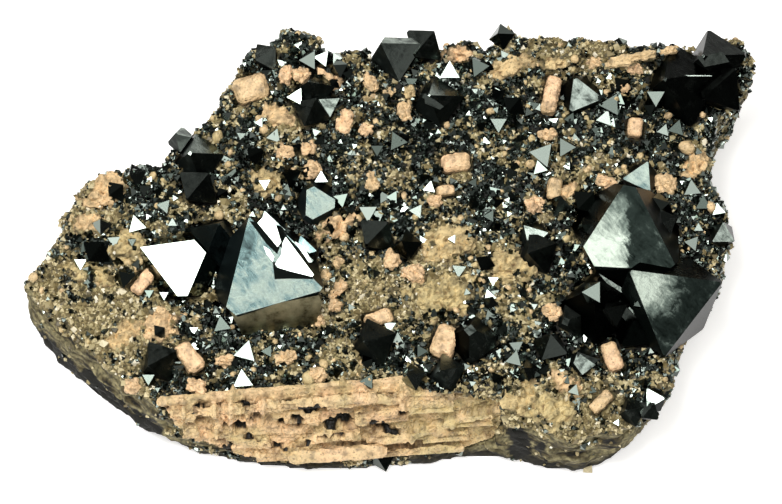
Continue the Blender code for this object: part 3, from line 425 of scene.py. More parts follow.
class StageSettings(bpy.types.PropertyGroup):
    floor: colour_property("Floor", "Matt white board", "#F7F6F4")
    backlight: light_property("Backlight", "Glow of the board", 0.55)
    distance: length_property("Camera distance", "From the crystal face", 1500)
    flash: light_property("Flash", "Brightness of the small soft box", 16.0)
    panel: light_property("Panel", "Brightness of the wide panel", 2.6)
    key: light_property("Key", "Brightness of the light from the upper left", 28.0)


def sight_point(across, down, height):
    """The point at this height that is seen at this pixel."""
    right = (across - MIDDLE_PIXEL.x) * MM_PER_PIXEL
    up = (MIDDLE_PIXEL.y - down) * MM_PER_PIXEL
    y = (up - (height - FACE_HEIGHT) * UPWARD.z) / UPWARD.y
    return Vector((right, y, height))


def pixels_of(points):
    """The pixels at which points in millimetres are seen."""
    across = MIDDLE_PIXEL.x + points[:, 0] / MM_PER_PIXEL
    up = points[:, 1] * UPWARD.y + (points[:, 2] - FACE_HEIGHT) * UPWARD.z
    return across, MIDDLE_PIXEL.y - up / MM_PER_PIXEL


def set_inputs(tree, node, inputs):
    """Sets or links a node's inputs. Colours are three numbers."""
    for place, value in inputs.items():
        socket = node.inputs[place]
        if isinstance(value, bpy.types.NodeSocket):
            tree.links.new(value, socket)
        else:
            socket.default_value = (*value, 1.0) if socket.type == "RGBA" else value


def add_node(tree, kind, inputs=None, stops=None, output=0, **settings):
    """Adds a node with its settings, sets or links its inputs, and gives one of its outputs."""
    node = tree.nodes.new(kind)
    for name, value in settings.items():
        setattr(node, name, value)
    set_inputs(tree, node, inputs or {})
    if stops:
        ramp = node.color_ramp
        while len(ramp.elements) < len(stops):
            ramp.elements.new(0.5)
        for element, (position, colour) in zip(ramp.elements, stops):
            element.position = position
            element.color = (*colour, 1.0)
    return node.outputs[output]


# Settings of a node that lays one colour over another, and of one that multiplies two
OVER = {"data_type": "RGBA", "output": 2}
SHADED = {"data_type": "RGBA", "blend_type": "MULTIPLY", "output": 2}


def new_material(name):
    """A material with its tree and shader, ready for nodes."""
    made = bpy.data.materials.new(name)
    made.use_nodes = True
    return made, made.node_tree, made.node_tree.nodes["Principled BSDF"]


def per_mm(size):
    """The noise scale that gives bumps of this size in millimetres."""
    return 1.0 / (size * MM)


def feldspar_colour(tree, settings, place):
    """Pink where fresh and cream where weathered, mottled, with iron-stained joints and creases
    darkened as painted shade, and painted shadow in the deepest pits.
    """
    tint, hollow = (
        add_node(tree, "ShaderNodeAttribute", output="Fac", attribute_name=name)
        for name in ("tint", "hollow")
    )
    colour = add_node(tree, "ShaderNodeMix", {0: tint, 6: settings.pink, 7: settings.cream}, **OVER)
    for size, detail, stops in (FELDSPAR_MOTTLE, FELDSPAR_PORES):
        pattern = add_node(
            tree, "ShaderNodeTexNoise", {"Vector": place, "Scale": per_mm(size), "Detail": detail}
        )
        shade = add_node(
            tree, "ShaderNodeValToRGB", {"Fac": pattern}, [(share, grey(tone)) for share, tone in stops]
        )
        colour = add_node(tree, "ShaderNodeMix", {0: 1.0, 6: colour, 7: shade}, **SHADED)
    # Painted shade in joints and creases, where hollow, and painted shadow in the deepest pits
    joints = add_node(
        tree, "ShaderNodeMapRange", {"Value": hollow, "From Min": 0.22, "From Max": 0.6, "To Max": 0.85}
    )
    deep = add_node(tree, "ShaderNodeMapRange", {"Value": hollow, "From Min": 0.6, "From Max": 0.8})
    for share, fill in ((joints, settings.stain_and_shade), (deep, settings.pit_shadow)):
        colour = add_node(tree, "ShaderNodeMix", {0: share, 6: colour, 7: fill}, **OVER)
    return colour


def wall_colour(tree, settings, place, speckle):
    """Broken rock of the walls: thin level layers, dark to pale, speckled with grit."""
    flat = add_node(tree, "ShaderNodeMapping", {"Vector": place, "Scale": (0.2, 0.2, 1.0)})
    layers = add_node(tree, "ShaderNodeTexNoise", {"Vector": flat, "Scale": per_mm(0.9), "Detail": 6})
    stops = zip((0.34, 0.42, 0.56, 0.72), (settings.band, settings.shade, settings.wall, settings.colour))
    walls = add_node(tree, "ShaderNodeValToRGB", {"Fac": layers}, list(stops))
    grit = add_node(
        tree, "ShaderNodeValToRGB", {"Fac": speckle},
        [(0.38, grey(0.45)), (0.5, grey(0.95)), (0.62, grey(1.35))],
    )
    return add_node(tree, "ShaderNodeMix", {0: 1.0, 6: walls, 7: grit}, **SHADED)


def foot_share(tree, place):
    """How much of the black band there is, from its ragged upper edge down."""
    patches = add_node(tree, "ShaderNodeTexNoise", {"Vector": place, "Scale": per_mm(4.0), "Detail": 5})
    height = add_node(tree, "ShaderNodeSeparateXYZ", {"Vector": place}, output="Z")
    ragged = add_node(
        tree, "ShaderNodeMath", {0: patches, 1: BAND_RAGGED * MM, 2: height}, operation="MULTIPLY_ADD"
    )
    return add_node(
        tree, "ShaderNodeMapRange",
        {"Value": ragged, "From Min": BAND_FULL * MM, "From Max": BAND_TOP * MM, "To Min": 0.92,
         "To Max": 0.0},
    )


def rock_material(settings, feldspar):
    """Granular feldspar rock, broken: rough, dark where ore fills it, layered on its walls, and
    black in a band at its foot and all round below a few millimetres' height."""
    made, tree, shader = new_material("broken_feldspar_rock")
    place = add_node(tree, "ShaderNodeTexCoord", output="Object")
    ore, crust, steep, band = (
        add_node(tree, "ShaderNodeAttribute", output="Fac", attribute_name=name)
        for name in ("ore", "crust", "steep", "band")
    )
    speckle = add_node(tree, "ShaderNodeTexNoise", {"Vector": place, "Scale": per_mm(0.55), "Detail": 3})
    colour = add_node(
        tree, "ShaderNodeValToRGB", {"Fac": speckle}, [(0.4, settings.shade), (0.62, settings.colour)]
    )
    foot = add_node(tree, "ShaderNodeMath", {0: foot_share(tree, place), 1: band}, operation="MAXIMUM")
    layers = (
        (ore, settings.ore), (crust, feldspar_colour(tree, feldspar, place)),
        (steep, wall_colour(tree, settings, place, speckle)), (foot, settings.band),
    )
    for share, layer in layers:
        colour = add_node(tree, "ShaderNodeMix", {0: share, 6: colour, 7: layer}, **OVER)
    bump = add_node(tree, "ShaderNodeBump", {"Height": speckle, "Strength": 0.8, "Distance": 0.2 * MM})
    set_inputs(tree, shader, {"Base Color": colour, "Roughness": 0.9, "Normal": bump})
    return made


def sand_material(settings):
    """Feldspar and quartz sand: each grain one colour, dull, with a few glassy ones."""
    made, tree, shader = new_material("feldspar_sand")
    island = add_node(tree, "ShaderNodeNewGeometry", output="Random Per Island")
    glassy = linear_colour("#F2EBD6")
    colours = (settings.grey, settings.brown, settings.middle, settings.pale, glassy)
    stops = list(zip((0.0, 0.32, 0.68, 0.95, 1.0), colours))
    colour = add_node(tree, "ShaderNodeValToRGB", {"Fac": island}, stops)
    place = add_node(tree, "ShaderNodeTexCoord", output="Object")
    rust = add_node(
        tree, "ShaderNodeMix", {0: spot(tree, place, *RUST_SPOT), 6: grey(1.0), 7: RUST_SHADE}, **OVER
    )
    rusty = add_node(tree, "ShaderNodeMix", {0: 1.0, 6: colour, 7: rust}, **SHADED)
    set_inputs(tree, shader, {"Base Color": rusty, "Roughness": 0.5})
    return made


def feldspar_material(settings, name):
    """Potassium feldspar: waxy on its cleavages, so a little glossy, with a fine rough break."""
    made, tree, shader = new_material(name)
    place = add_node(tree, "ShaderNodeTexCoord", output="Object")
    fine = add_node(tree, "ShaderNodeTexNoise", {"Vector": place, "Scale": per_mm(0.4), "Detail": 4})
    bump = add_node(tree, "ShaderNodeBump", {"Height": fine, "Strength": 0.9, "Distance": 0.25 * MM})
    colour = feldspar_colour(tree, settings, place)
    set_inputs(tree, shader, {"Base Color": colour, "Roughness": 0.5, "Normal": bump})
    return made


def spot(tree, place, across, down, near, far):
    """1 around the place seen at a pixel and 0 farther off, with the two radii in millimetres."""
    middle = tuple(sight_point(across, down, SPOT_HEIGHT) * MM)
    away = add_node(
        tree, "ShaderNodeVectorMath", {0: place, 1: middle}, output="Value", operation="DISTANCE"
    )
    return add_node(
        tree, "ShaderNodeMapRange",
        {"Value": away, "From Min": near * MM, "From Max": far * MM, "To Min": 1.0, "To Max": 0.0},
    )


def parted_tone(tree, place, streaks):
    """How clean the faces of the right-hand pair are: the upper one is clean at its lower left, up
    to a sharp feathered line, and the lower one only around its upper left corner."""
    line = (FEATHERED_LINE - MIDDLE_PIXEL.x) * MM_PER_PIXEL * MM
    across = add_node(tree, "ShaderNodeSeparateXYZ", {"Vector": place}, output="X")
    wavering = add_node(
        tree, "ShaderNodeMath", {0: streaks, 1: 5.0 * MM, 2: across}, operation="MULTIPLY_ADD"
    )
    left = add_node(
        tree, "ShaderNodeMapRange",
        {"Value": wavering, "From Min": line + 2.2 * MM, "From Max": line + 2.8 * MM,
         "To Min": 1.0, "To Max": 0.0},
    )
    upper = add_node(
        tree, "ShaderNodeMath", {0: left, 1: spot(tree, place, *UPPER_CLEAN)}, operation="MULTIPLY"
    )
    seen_up = add_node(
        tree, "ShaderNodeVectorMath", {0: place, 1: tuple(UPWARD)}, output="Value",
        operation="DOT_PRODUCT",
    )
    parting = ((MIDDLE_PIXEL.y - PARTING_LINE) * MM_PER_PIXEL + FACE_HEIGHT * UPWARD.z) * MM
    is_upper = add_node(tree, "ShaderNodeMath", {0: seen_up, 1: parting}, operation="GREATER_THAN")
    lower = spot(tree, place, *LOWER_CLEAN)
    return add_node(tree, "ShaderNodeMix", {0: is_upper, 2: lower, 3: upper})


def plain_magnetite(tree, settings, place, finish):
    """Reflection and roughness without growth marks: a clean mirror, a black etched step that is
    also a painted shadow, a dirty, dulled side tinted as a painted reflection of the sand, or a
    grain with a tone of its own."""
    if finish == "clean":
        return settings.colour, 0.1
    # Near-black: etched steps, and the sheet of painted shadow on the left-hand crystal
    if finish == "etched":
        return linear_colour("#060807"), 0.35
    if finish == "dulled":
        # Dirty and dulled, tinted sand-brown as a painted reflection of the sand in front
        dirt_and_reflection = add_node(
            tree, "ShaderNodeTexNoise",
            {"Vector": place, "Scale": per_mm(2.2), "Detail": 7, "Roughness": 0.65},
        )
        return add_node(tree, "ShaderNodeValToRGB", {"Fac": dirt_and_reflection}, DIRT_AND_SAND_REFLECTION), 0.4
    island = add_node(tree, "ShaderNodeNewGeometry", output="Random Per Island")
    stops = [(0.3, settings.tarnish), (0.9, settings.colour)]
    return add_node(tree, "ShaderNodeValToRGB", {"Fac": island}, stops), 0.16


def grown_magnetite(tree, settings, place, finish, painted_shade_gain):
    """Shader inputs of a grown face: shallow growth layers, feathery streaks and cloudy etched
    areas, with painted shade: darker on steep faces, and dull black without the metal's shine
    where the crystal turns under."""
    turned = add_node(
        tree, "ShaderNodeMapping",
        {"Vector": place, "Rotation": (0, 0, STREAK_TURN), "Scale": (5.0, 1.0, 1.0)},
        vector_type="TEXTURE",
    )
    streaks = add_node(
        tree, "ShaderNodeTexNoise",
        {"Vector": turned, "Scale": per_mm(0.7), "Detail": 8, "Roughness": 0.7, "Distortion": 0.9},
    )
    clouds = add_node(
        tree, "ShaderNodeTexNoise",
        {"Vector": place, "Scale": per_mm(3.0), "Detail": 8, "Roughness": 0.68, "Distortion": 0.8},
    )
    tone = add_node(tree, "ShaderNodeMix", {0: 0.4, 2: clouds, 3: streaks})
    stops = [(0.22, linear_colour("#141816")), (0.4, settings.tarnish), (0.52, settings.colour),
             (0.9, linear_colour("#949D94"))]
    if finish == "parted":
        clean, stops = parted_tone(tree, place, streaks), PARTED_FACE
        tone = add_node(tree, "ShaderNodeMath", {0: clean, 1: 0.36, 2: tone}, operation="MULTIPLY_ADD")
    if finish == "layered":
        veil, stops = spot(tree, place, *VEILED), LAYERED_FACE
        tone = add_node(tree, "ShaderNodeMath", {0: veil, 1: -0.12, 2: tone}, operation="MULTIPLY_ADD")
    # Painted shade: a gain below 1 darkens all of a shaded crystal's reflection
    stops = [(share, tuple(painted_shade_gain * channel for channel in reflection)) for share, reflection in stops]
    up = add_node(tree, "ShaderNodeNewGeometry", output="True Normal")
    rises = add_node(tree, "ShaderNodeSeparateXYZ", {"Vector": up}, output="Z")
    # Painted shade: faces are darkened by how steep they are, as if they lay in shade
    steep = add_node(
        tree, "ShaderNodeMapRange",
        {"Value": rises, "From Min": 0.5, "From Max": 0.78, "To Min": -0.3, "To Max": 0.0},
    )
    tone = add_node(tree, "ShaderNodeMath", {0: tone, 1: steep}, operation="ADD")
    # Painted shade: where the crystal turns under, the face loses its metal shine and stays dark
    bare = add_node(tree, "ShaderNodeMapRange", {"Value": rises, "From Min": 0.2, "From Max": 0.5})
    rough = add_node(
        tree, "ShaderNodeMapRange",
        {"Value": tone, "From Min": 0.35, "From Max": 0.65, "To Min": 0.3, "To Max": 0.16},
    )
    bump = add_node(tree, "ShaderNodeBump", {"Height": streaks, "Strength": 0.35, "Distance": 0.05 * MM})
    colour = add_node(tree, "ShaderNodeValToRGB", {"Fac": tone}, stops)
    return {"Base Color": colour, "Metallic": bare, "Roughness": rough, "Normal": bump}


def magnetite_material(settings, name, finish, painted_shade_gain=1.0):
    """Magnetite: an opaque black oxide whose faces reflect like dark polished metal. The finish is
    clean, etched, dulled or grain, or for a grown face cloudy, layered or parted; a grown face's
    gain below 1 darkens all its reflection as painted shade."""
    made, tree, shader = new_material(name)
    shader.inputs["Metallic"].default_value = 1.0
    place = add_node(tree, "ShaderNodeTexCoord", output="Object")
    if finish in ("cloudy", "layered", "parted"):
        # Little shine off the metal, so the faces turned under stay dark as painted shade
        shader.inputs["Specular IOR Level"].default_value = 0.05
        set_inputs(tree, shader, grown_magnetite(tree, settings, place, finish, painted_shade_gain))
    else:
        colour, roughness = plain_magnetite(tree, settings, place, finish)
        set_inputs(tree, shader, {"Base Color": colour, "Roughness": roughness})
    return made


def add_piece(name, mesh, material):
    """Links a finished mesh as a piece that rides on the specimen."""
    piece = bpy.data.objects.new(name, mesh)
    bpy.context.scene.collection.objects.link(piece)
    mesh.materials.clear()
    mesh.materials.append(material)
    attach(piece, "root")
    return piece


def mesh_of(joined, name):
    """Makes a mesh of joined parts and frees them."""
    mesh = bpy.data.meshes.new(name)
    joined.to_mesh(mesh)
    joined.free()
    return mesh


def mesh_from_arrays(name, points, faces):
    """A mesh from points in millimetres and faces, both as arrays."""
    mesh = bpy.data.meshes.new(name)
    mesh.from_pydata((points * MM).tolist(), [], faces.tolist())
    mesh.update()
    return mesh


def remeshed(nodes, name, voxel):
    """A fine copy of some CAD nodes' meshes as one, in even quads."""
    joined = bmesh.new()
    for node in nodes:
        joined.from_mesh(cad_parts[node].data)
    merged = mesh_of(joined, name + "_source")
    source = bpy.data.objects.new(name + "_source", merged)
    bpy.context.scene.collection.objects.link(source)
    fine = source.modifiers.new("even quads", "REMESH")
    fine.mode = "VOXEL"
    fine.voxel_size = voxel
    graph = bpy.context.evaluated_depsgraph_get()
    mesh = bpy.data.meshes.new_from_object(source.evaluated_get(graph))
    bpy.data.objects.remove(source)
    bpy.data.meshes.remove(merged)
    mesh.name = name
    return mesh


def mesh_points(mesh):
    """A mesh's points in millimetres and their normals, as arrays."""
    found = []
    for what in ("co", "normal"):
        values = np.empty(len(mesh.vertices) * 3)
        mesh.vertices.foreach_get(what, values)
        found.append(values.reshape(-1, 3))
    return found[0] / MM, found[1]


def set_mesh_points(mesh, points):
    """Moves a mesh's points to these places in millimetres."""
    mesh.vertices.foreach_set("co", (points * MM).ravel())
    mesh.update()


def paint(mesh, **marks):
    """Stores numbers for each point of a mesh, for its material to read."""
    for name, values in marks.items():
        layer = mesh.attributes.new(name, "FLOAT", "POINT")
        layer.data.foreach_set("value", np.clip(values, 0.0, 1.0).astype(np.float32))


def noise_at(points, size, seed=0.0):
    """Noise at each point of an array, with bumps of this size in millimetres."""
    offset = Vector((seed, 0.7 * seed, -seed))
    return np.array([noise.noise(Vector(point) / size + offset) for point in points])


def bumps_at(points, sizes, seed=0.0):
    """Noise of several sizes in millimetres, each with its share."""
    return sum(share * noise_at(points, size, seed) for size, share in sizes)


def knobs(points, size, seed=0.0):
    """Rounded knobs, from 0 in the creases between them to 1."""
    coarse = np.abs(noise_at(points, size, seed)) * 2.0
    fine = np.abs(noise_at(points, size / 2.3, seed + 5)) * 2.0
    return np.clip(0.65 * coarse + 0.35 * fine, 0.0, 1.0)


def patch_weight(across, down, patches):
    """How deep in a set of round patches each pixel is, from 0 to 1."""
    weight = np.zeros_like(across)
    for x, y, radius in patches:
        near = np.exp(-((across - x) ** 2 + (down - y) ** 2) / (1.1 * radius ** 2))
        weight = np.maximum(weight, near)
    return weight


def segment_height(across, down, rows):
    """The height that a table of ridges or pits gives each pixel."""
    total = np.zeros_like(across)
    for x0, y0, x1, y1, half_width, height in rows:
        run_x, run_y = x1 - x0, y1 - y0
        share = ((across - x0) * run_x + (down - y0) * run_y) / (run_x ** 2 + run_y ** 2)
        share = np.clip(share, 0.0, 1.0)
        away = np.hypot(across - x0 - share * run_x, down - y0 - share * run_y)
        total += height * np.clip(2.2 * (1.0 - away / half_width), 0.0, 1.0)
    return total


def inside(across, down, polygons):
    """Which pixels lie in one of these polygons."""
    found = np.zeros(across.shape, dtype=bool)
    for corners in polygons:
        within = np.zeros(across.shape, dtype=bool)
        for (x0, y0), (x1, y1) in zip(corners, corners[1:] + corners[:1]):
            if y0 != y1:
                within ^= ((y0 > down) != (y1 > down)) & (across < x0 + (down - y0) * (x1 - x0) / (y1 - y0))
        found |= within
    return found


def wall_shares(points, normals):
    """How much each point belongs to a broken wall, and to the black band at its foot."""
    across, down = pixels_of(points)
    across = across + WALL_WAVER * noise_at(points, 1.3, 30)
    down = down + WALL_WAVER * noise_at(points, 1.3, 33)
    steep = np.clip((0.55 - normals[:, 2]) / 0.3, 0.0, 1.0)
    return np.maximum(steep, inside(across, down, WALLS)), inside(across, down, BLACK_BANDS) * 1.0


def crust_weight(points):
    """How much of a feldspar crust each point is, and the crust's tint."""
    across, down = pixels_of(points)
    ragged = noise_at(points, 1.5, 20) + 0.5 * noise_at(points, 0.6, 21)
    weight, tint = np.zeros(len(points)), np.zeros(len(points))
    for x, y, length, width, turn, row_tint in CRUSTS:
        cosine, sine = math.cos(math.radians(turn)), math.sin(math.radians(turn))
        along = ((across - x) * cosine - (down - y) * sine) * MM_PER_PIXEL / (length / 2)
        beside = ((across - x) * sine + (down - y) * cosine) * MM_PER_PIXEL / (width / 2)
        depth = np.clip(3.0 * (1.15 - np.hypot(along, beside) + 0.8 * ragged), 0.0, 1.0)
        tint = np.where(depth > weight, row_tint, tint)
        weight = np.maximum(weight, depth)
    return weight, tint


def ore_share(points, normals):
    """How much of the surface is magnetite at each place, from 0 to 1."""
    across, down = pixels_of(points)
    rich, bare = (patch_weight(across, down, patches) for patches in (DARK_PATCHES, SAND_PATCHES))
    clump = noise_at(points, 1.6)
    top = TOP_ORE + 0.62 * rich - 0.50 * bare + 1.0 * clump
    walls = WALL_ORE + 0.9 * clump
    steep, _ = wall_shares(points, normals)
    return np.clip(np.where(steep > 0.5, walls, top), 0.0, 1.0)


def surface_samples(mesh, count, rng):
    """Random places on a mesh, in millimetres, with their normals."""
    mesh.calc_loop_triangles()
    corners = np.empty(len(mesh.loop_triangles) * 3, dtype=np.int64)
    mesh.loop_triangles.foreach_get("vertices", corners)
    corners = corners.reshape(-1, 3)
    points, _ = mesh_points(mesh)
    a, b, c = (points[corners[:, side]] for side in range(3))
    cross = np.cross(b - a, c - a)
    area = np.linalg.norm(cross, axis=1)
    pick = rng.choice(len(corners), size=count, p=area / area.sum())
    u, v = np.sqrt(rng.random(count)), rng.random(count)
    place = a[pick] * (1 - u)[:, None] + b[pick] * (u * (1 - v))[:, None] + c[pick] * (u * v)[:, None]
    return place, cross[pick] / area[pick][:, None]


def random_turns(count, rng):
    """Random rotation matrices."""
    q = rng.normal(size=(count, 4))
    w, x, y, z = (q / np.linalg.norm(q, axis=1)[:, None]).T
    rows = [
        [1 - 2 * (y * y + z * z), 2 * (x * y - z * w), 2 * (x * z + y * w)],
        [2 * (x * y + z * w), 1 - 2 * (x * x + z * z), 2 * (y * z - x * w)],
        [2 * (x * z - y * w), 2 * (y * z + x * w), 1 - 2 * (x * x + y * y)],
    ]
    return np.array(rows).transpose(2, 0, 1)


# An octahedron with edges of 1, its longest direction 1.4
OCTAHEDRON_POINTS = np.array(
    [(1, 0, 0), (-1, 0, 0), (0, 1, 0), (0, -1, 0), (0, 0, 1), (0, 0, -1)]
) / math.sqrt(2)
OCTAHEDRON_FACES = np.array([
    (0, 2, 4), (2, 1, 4), (1, 3, 4), (3, 0, 4), (2, 0, 5), (1, 2, 5), (3, 1, 5), (0, 3, 5),
])


def repeated_faces(faces, count, points_each):
    """The faces of many copies of a shape, one after another."""
    offsets = np.arange(count) * points_each
    return (faces[None] + offsets[:, None, None]).reshape(-1, faces.shape[1])


def joined_copies(name, shape, faces, places, turns, sizes, jitter, rng):
    """One mesh of many turned and sized copies of a small shape, each a little different."""
    count = len(places)
    shapes = np.repeat(shape[None], count, axis=0)
    if jitter:
        shapes = shapes + rng.uniform(-jitter, jitter, shapes.shape)
    shapes = np.einsum("nij,nkj->nki", turns, shapes * sizes[:, None, :]) + places[:, None, :]
    return mesh_from_arrays(name, shapes.reshape(-1, 3), repeated_faces(faces, count, len(shape)))


def search_tree(meshes):
    """A search tree of some meshes, in millimetres."""
    points, faces = [], []
    for mesh in meshes:
        offset = len(points)
        points += [vertex.co / MM for vertex in mesh.vertices]
        faces += [[offset + index for index in polygon.vertices] for polygon in mesh.polygons]
    return BVHTree.FromPolygons(points, faces)


def crystals_tree():
    """A search tree of the CAD crystals."""
    return search_tree(node.data for name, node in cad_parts.items() if name != "rock")


def seen_on(tree, across, down):
    """The place and normal of a search tree's surface that is seen at a pixel, if there is one."""
    return tree.ray_cast(sight_point(across, down, ABOVE_ALL), -TOWARD)[:2]


def open_places(mesh, count, rng, tree):
    """Places on the rock that can be seen: not under it, not in a crystal's socket or on a crust,
    and few of them on the walls."""
    places, normals = surface_samples(mesh, int(count * TRIES_PER_PLACE), rng)
    seen = (normals[:, 2] > TURNED_UNDER) & (places[:, 2] > LOWEST_GRAIN)
    places, normals = places[seen], normals[seen]
    seen = (wall_shares(places, normals)[0] < 0.5) | (rng.random(len(places)) < WALL_GRAINS)
    places, normals = places[seen], normals[seen]
    crusted = crust_weight(places)[0] > 0.15 + 0.45 * rng.random(len(places))
    places, normals = places[~crusted], normals[~crusted]
    free = [
        tree.ray_cast(Vector(place), Vector(normal), SOCKET_DEPTH)[0] is None
        for place, normal in zip(places, normals)
    ]
    return places[free][:count], normals[free][:count]


def toward_plus(right, up):
    """The direction this many degrees right and up of the sight line."""
    right, up = math.tan(math.radians(right)), math.tan(math.radians(up))
    return (TOWARD + RIGHT * right + UPWARD * up).normalized()


def octahedron_at(middle, edge, turn, facing):
    """Points of an octahedron whose front face has its middle at a point and faces so."""
    normal = toward_plus(*FACINGS[facing])
    across = (RIGHT - normal * RIGHT.dot(normal)).normalized()
    basis = Matrix((across, normal.cross(across), normal)).transposed()
    level = Vector((1, 1, 1)).rotation_difference(Vector((0, 0, 1))).to_matrix()
    first = level @ Vector((1, 0, 0))
    level = Matrix.Rotation(-math.atan2(first.y, first.x), 3, "Z") @ level
    placed = basis @ Matrix.Rotation(math.radians(turn), 3, "Z") @ level
    centre = middle - normal * edge / math.sqrt(6)
    return [centre + placed @ Vector(point) * edge for point in OCTAHEDRON_POINTS]


class Ground:
    """The finished rock surface, for setting pieces on it."""

    mesh = None
    tree = None

    def set_mesh(self, mesh):
        self.mesh = mesh
        self.tree = search_tree([mesh])

    def seat(self, across, down):
        """The place and normal of the rock that is seen at a pixel, or just inside the edge."""
        pixel = Vector((across, down))
        inward = (MIDDLE_PIXEL - pixel).normalized() * 2
        for _ in range(15):
            place, normal = seen_on(self.tree, *pixel)
            if place is not None:
                return place, normal
            pixel += inward
        raise RuntimeError(f"no rock is seen near pixel {across}, {down}")


ground = Ground()


class SPECIMEN_OT_rock(bpy.types.Operator):
    """Builds the rock with its broken surface"""

    bl_idname = "specimen.rock"
    bl_label = "Rock"

    def execute(self, context):
        settings = context.scene.specimen_rock
        mesh = remeshed(("rock",), "rock_surface", settings.voxel)
        points, normals = mesh_points(mesh)
        sockets = [(row[0], row[1], row[2] * CALM_PIXELS) for row in SMALL_MAGNETITE]
        calm = patch_weight(*pixels_of(points), sockets)
        steep, band = wall_shares(points, normals)
        crust, tint = crust_weight(points)
        crust *= 1.0 - steep
        knob = knobs(points, 1.0, 7)
        layers = noise_at(points * np.array((0.3, 0.3, 1.0)), 1.1)
        bumps = bumps_at(points, ROCK_BUMPS) * (1.0 - 0.8 * calm) + 1.7 * layers * steep
        push = settings.relief / MM * bumps + crust * (0.1 + 1.2 * (knob - 0.3))
        push[points[:, 2] < FOOT_HEIGHT] = 0.0
        moved = points + normals * push[:, None]
        moved[:, 2] = np.maximum(moved[:, 2], 0.0)
        set_mesh_points(mesh, moved)
        # Hollow, in the creases of the crusts' knobs, is read as painted shade
        paint(
            mesh, ore=1.6 * ore_share(points, normals) - 0.2, steep=steep, band=band, crust=crust,
            tint=tint, hollow=0.75 - 2.6 * knob,
        )
        material = rock_material(settings, context.scene.specimen_feldspar)
        piece = add_piece("rock_surface", mesh, material)
        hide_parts("rock")
        ground.set_mesh(mesh)
        return {"FINISHED"}


class SPECIMEN_OT_grains(bpy.types.Operator):
    """Covers the rock with grains of sand, magnetite and feldspar"""

    bl_idname = "specimen.grains"
    bl_label = "Grains"

    def execute(self, context):
        settings = context.scene.specimen_grains
        rng = np.random.default_rng(3)
        tree = crystals_tree()
        rock = open_places(ground.mesh, settings.place_count, rng, tree)
        slab = self.above_slab(rng)
        places, normals = (np.concatenate(pair) for pair in zip(slab, rock))
        is_ore = rng.random(len(places)) < ore_share(places, normals)
        octahedron = (OCTAHEDRON_POINTS, OCTAHEDRON_FACES)
        mesh = self.scatter(
            "sand", octahedron, places[~is_ore], normals[~is_ore], settings.sand_count,
            settings.sand_size, rng, spread=(0.75, 1.2), proud=0.12, jitter=0.2,
        )
        add_piece("sand", mesh, sand_material(settings))
        mesh = self.scatter(
            "magnetite_grains", octahedron, places[is_ore], normals[is_ore], settings.dark_count,
            settings.dark_size, rng, proud=0.15,
        )
        material = magnetite_material(context.scene.specimen_crystals, "magnetite_grain", "grain")
        add_piece("magnetite_grains", mesh, material)
        self.chips(settings, context.scene.specimen_feldspar, tree, rng)
        return {"FINISHED"}

    def above_slab(self, rng):
        """Places on the slab that are seen above its upper edge, with their normals."""
        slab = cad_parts["feldspar_slab"].data
        places, normals = surface_samples(slab, SLAB_SAMPLES, rng)
        across, down = pixels_of(places)
        above = (down < np.interp(across, *SLAB_EDGE)) & (normals[:, 2] > 0.3)
        return places[above], normals[above]

    def scatter(self, name, shape, places, normals, most, size, rng, spread=None, proud=0.0, jitter=0.0):
        """One mesh of grains, turned at random and raised by a share of their width."""
        places, normals = places[:most], normals[:most]
        count = len(places)
        width = size / MM * np.exp(rng.normal(0, 0.3, count))
        sizes = np.repeat(width[:, None], 3, axis=1)
        if spread:
            sizes *= rng.uniform(*spread, (count, 3))
        seated = places + normals * (width * proud)[:, None]
        return joined_copies(name, *shape, seated, random_turns(count, rng), sizes, jitter, rng)

    def chips(self, settings, feldspar, tree, rng):
        """Rounded grains of feldspar, each with a tint of its own."""
        ball = bmesh.new()
        bmesh.ops.create_icosphere(ball, subdivisions=2, radius=0.55)
        points = np.array([tuple(vert.co) for vert in ball.verts])
        faces = np.array([[vert.index for vert in face.verts] for face in ball.faces])
        ball.free()
        places, normals = open_places(ground.mesh, settings.chip_count, rng, tree)
        mesh = self.scatter(
            "feldspar_grains", (points, faces), places, normals, settings.chip_count,
            settings.chip_size, rng, spread=(0.65, 1.2), proud=0.18, jitter=0.05,
        )
        paint(mesh, tint=np.repeat(0.45 + 0.55 * rng.random(len(places)), len(points)))
        mesh.shade_smooth()
        add_piece("feldspar_grains", mesh, feldspar_material(feldspar, "feldspar_grain"))


